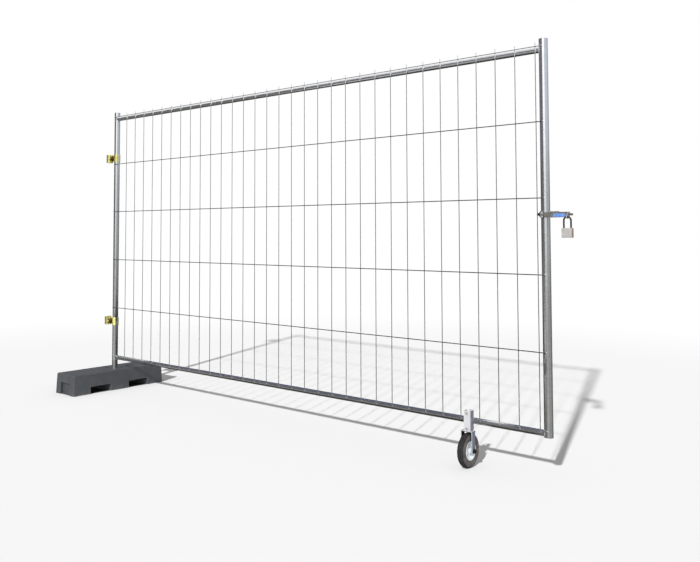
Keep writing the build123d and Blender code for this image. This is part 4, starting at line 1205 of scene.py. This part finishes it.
def repeated(shape, places, sizes=1.0):
    """One small skin at many places in one go: its points times the size, plus each place."""
    points, quads, fans = shape
    starts = len(points) * np.arange(len(places))[:, None, None]
    moved = places[:, None] + sizes * points[None]
    return moved.reshape(-1, 3), (quads + starts).reshape(-1, 4), (fans + starts).reshape(-1, 3)


def rod(radius, length, across, over):
    """A round rod from the origin along the axis that is square to across and over, as two rings."""
    cosine, sine = np.cos(WIRE_SIDES)[:, None], np.sin(WIRE_SIDES)[:, None]
    ring = radius * (cosine * np.array(across) + sine * np.array(over))
    return capped(np.stack([ring, ring + length * np.cross(across, over)]))


def crossings(xs, y, zs):
    """Places at every crossing of some X and Z values."""
    x, z = np.meshgrid(xs, zs, indexing="ij")
    return np.stack([x, np.full_like(x, y), z], axis=-1).reshape(-1, 3)


low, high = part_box("vertical_wires")
upright = (high.y - low.y) / 2
wire_xs = np.linspace(low.x + upright, high.x - upright, UPRIGHT_WIRES)
wire_feet, wire_back = low.z, high.y
wire = rod(upright, high.z - low.z, (1, 0, 0), (0, 1, 0))
shape = repeated(wire, crossings(wire_xs, low.y + upright, [low.z]))
dress("round_upright_wires", shape, upright_zinc, "gate_leaf", "galvanised_steel", "vertical_wires")
low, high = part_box("horizontal_wires")
level = (high.y - low.y) / 2
wire_zs = np.linspace(low.z + level, high.z - level, LEVEL_WIRES)
wire_front = high.y
wire = rod(level, high.x - low.x, (0, 1, 0), (0, 0, 1))
shape = repeated(wire, crossings([low.x], low.y + level, wire_zs))
dress("round_level_wires", shape, level_zinc, "gate_leaf", "galvanised_steel", "horizontal_wires")

# %% [markdown]
# ## Welds
# The rails are welded all round where their ends fit the posts, and the bead follows the saddle line. The
# wires are spot welded, which leaves a small lens of metal at every crossing. There are hundreds, so each
# has few faces.

# %% Beads where the rails meet the posts
BEAD_RADIUS = 0.0023
RIPPLE = 0.00035
RIPPLES = 36
RIPPLE_POINTS = 4
BEAD_SIDES = 10


def saddle_bead(post_x, facing, rail, rail_radius):
    """A bead along the saddle line of a rail on a post, thicker and thinner by a sine of the angle."""
    angle = full_turn(RIPPLE_POINTS * RIPPLES)
    round_rail = np.stack([np.zeros_like(angle), np.cos(angle), np.sin(angle)], axis=-1)
    y, z = rail.y + rail_radius * np.cos(angle), rail.z + rail_radius * np.sin(angle)
    path = np.stack([post_x + facing * saddle(y), y, z], axis=-1)
    ahead = np.roll(path, -1, axis=0) - np.roll(path, 1, axis=0)
    ahead = ahead / np.linalg.norm(ahead, axis=1, keepdims=True)
    across = np.cross(ahead, round_rail)
    thick = BEAD_RADIUS + RIPPLE * np.sin(RIPPLES * angle)
    turn = full_turn(BEAD_SIDES)[None, :, None]
    ring = np.cos(turn) * round_rail[:, None] + np.sin(turn) * across[:, None]
    return hooped(path[:, None] + thick[:, None, None] * ring)


beads = []
for rail_name in ("top_rail", "bottom_rail"):
    rail, half = middle_and_half(rail_name)
    for post_x, facing in ((0.0, 1.0), (latch_x, -1.0)):
        beads.append(saddle_bead(post_x, facing, rail, half.z))
dress("rail_weld_beads", together(*beads), bead_zinc, "gate_leaf", "galvanised_steel")

# %% Spot welds of the mesh
MESH_SPOT = (0.0033, 0.0015, 0.0037)
RAIL_SPOT = (0.0031, 0.0014, 0.0065)
FOOT_SPOT = (0.0028, 0.0016, 0.0034)
POST_SPOT = (0.0065, 0.0014, 0.0037)
RAIL_SUNK = 0.0005
FOOT_OUT = 0.0004
FOOT_UP = 0.003
POST_SUNK = 0.0004


def small_ball():
    """A ball of radius 1 as four rings of eight points, to be flattened into a lens."""
    polar = np.radians([36.0, 72.0, 108.0, 144.0])[:, None]
    bearing = full_turn(8)[None, :]
    flat = np.broadcast_to(np.cos(polar), (4, 8))
    return capped(np.stack([np.sin(polar) * np.cos(bearing), np.sin(polar) * np.sin(bearing), flat], axis=-1))


WELDS = [
    (crossings(wire_xs, wire_front, wire_zs), MESH_SPOT),
    (crossings(wire_xs, wire_back - RAIL_SUNK, [(rail_low.z + rail_high.z) / 2]), RAIL_SPOT),
    (crossings(wire_xs, wire_back + FOOT_OUT, [wire_feet + FOOT_UP]), FOOT_SPOT),
    (crossings([0.0, latch_x], wire_front - POST_SUNK, wire_zs), POST_SPOT),
]
shapes = [repeated(small_ball(), places, np.array(half_size)) for places, half_size in WELDS]
dress("mesh_spot_welds", together(*shapes), bead_zinc, "gate_leaf", "galvanised_steel")

# %% [markdown]
# ## Face plate on the latch
# A plain blue plate is fixed to the front of the latch's bar. Its corners are rounded in the outline, by a
# power of the cosine and sine, and its front edge is broken, so it catches a line of light.

# %% Rounded blue plate
CORNER_POWER = 0.22
PLATE_POINTS = 96
EDGE_BREAK = 0.0006
EDGE_STEP = 0.0002


def plate_rings(middle, half):
    """Rings of a rounded rectangle: the half width times a signed small power of the cosine, and the height
    with the sine. The first ring is the front face's, a little smaller, and the last lies on the bar."""
    angle = full_turn(PLATE_POINTS)
    across = np.sign(np.cos(angle)) * np.abs(np.cos(angle)) ** CORNER_POWER
    upright_share = np.sign(np.sin(angle)) * np.abs(np.sin(angle)) ** CORNER_POWER
    inset = np.array([EDGE_BREAK, EDGE_STEP, 0.0, 0.0])[:, None]
    depth = middle.y - half.y + np.array([0.0, EDGE_STEP, EDGE_BREAK, 2.0 * half.y])[:, None]
    x = middle.x + (half.x - inset) * across
    z = middle.z + (half.z - inset) * upright_share
    return np.stack([x, np.broadcast_to(depth, x.shape), z], axis=-1)


shape = capped(plate_rings(*middle_and_half("latch_face_plate")))
dress("blue_face_plate", shape, blue_paint, "hasp", "plate_paint", "latch_face_plate")

# %% [markdown]
# ## Measure and finish
# The dressed gate must stay in the box of its solids, so both boxes are written down side by side.

# %% Write the sizes and finish
dressed_low, dressed_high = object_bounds()
sizes = {
    "cad": [list(map(float, cad_low)), list(map(float, cad_high))],
    "visual": [list(map(float, dressed_low)), list(map(float, dressed_high))],
}
print("sizes", sizes)
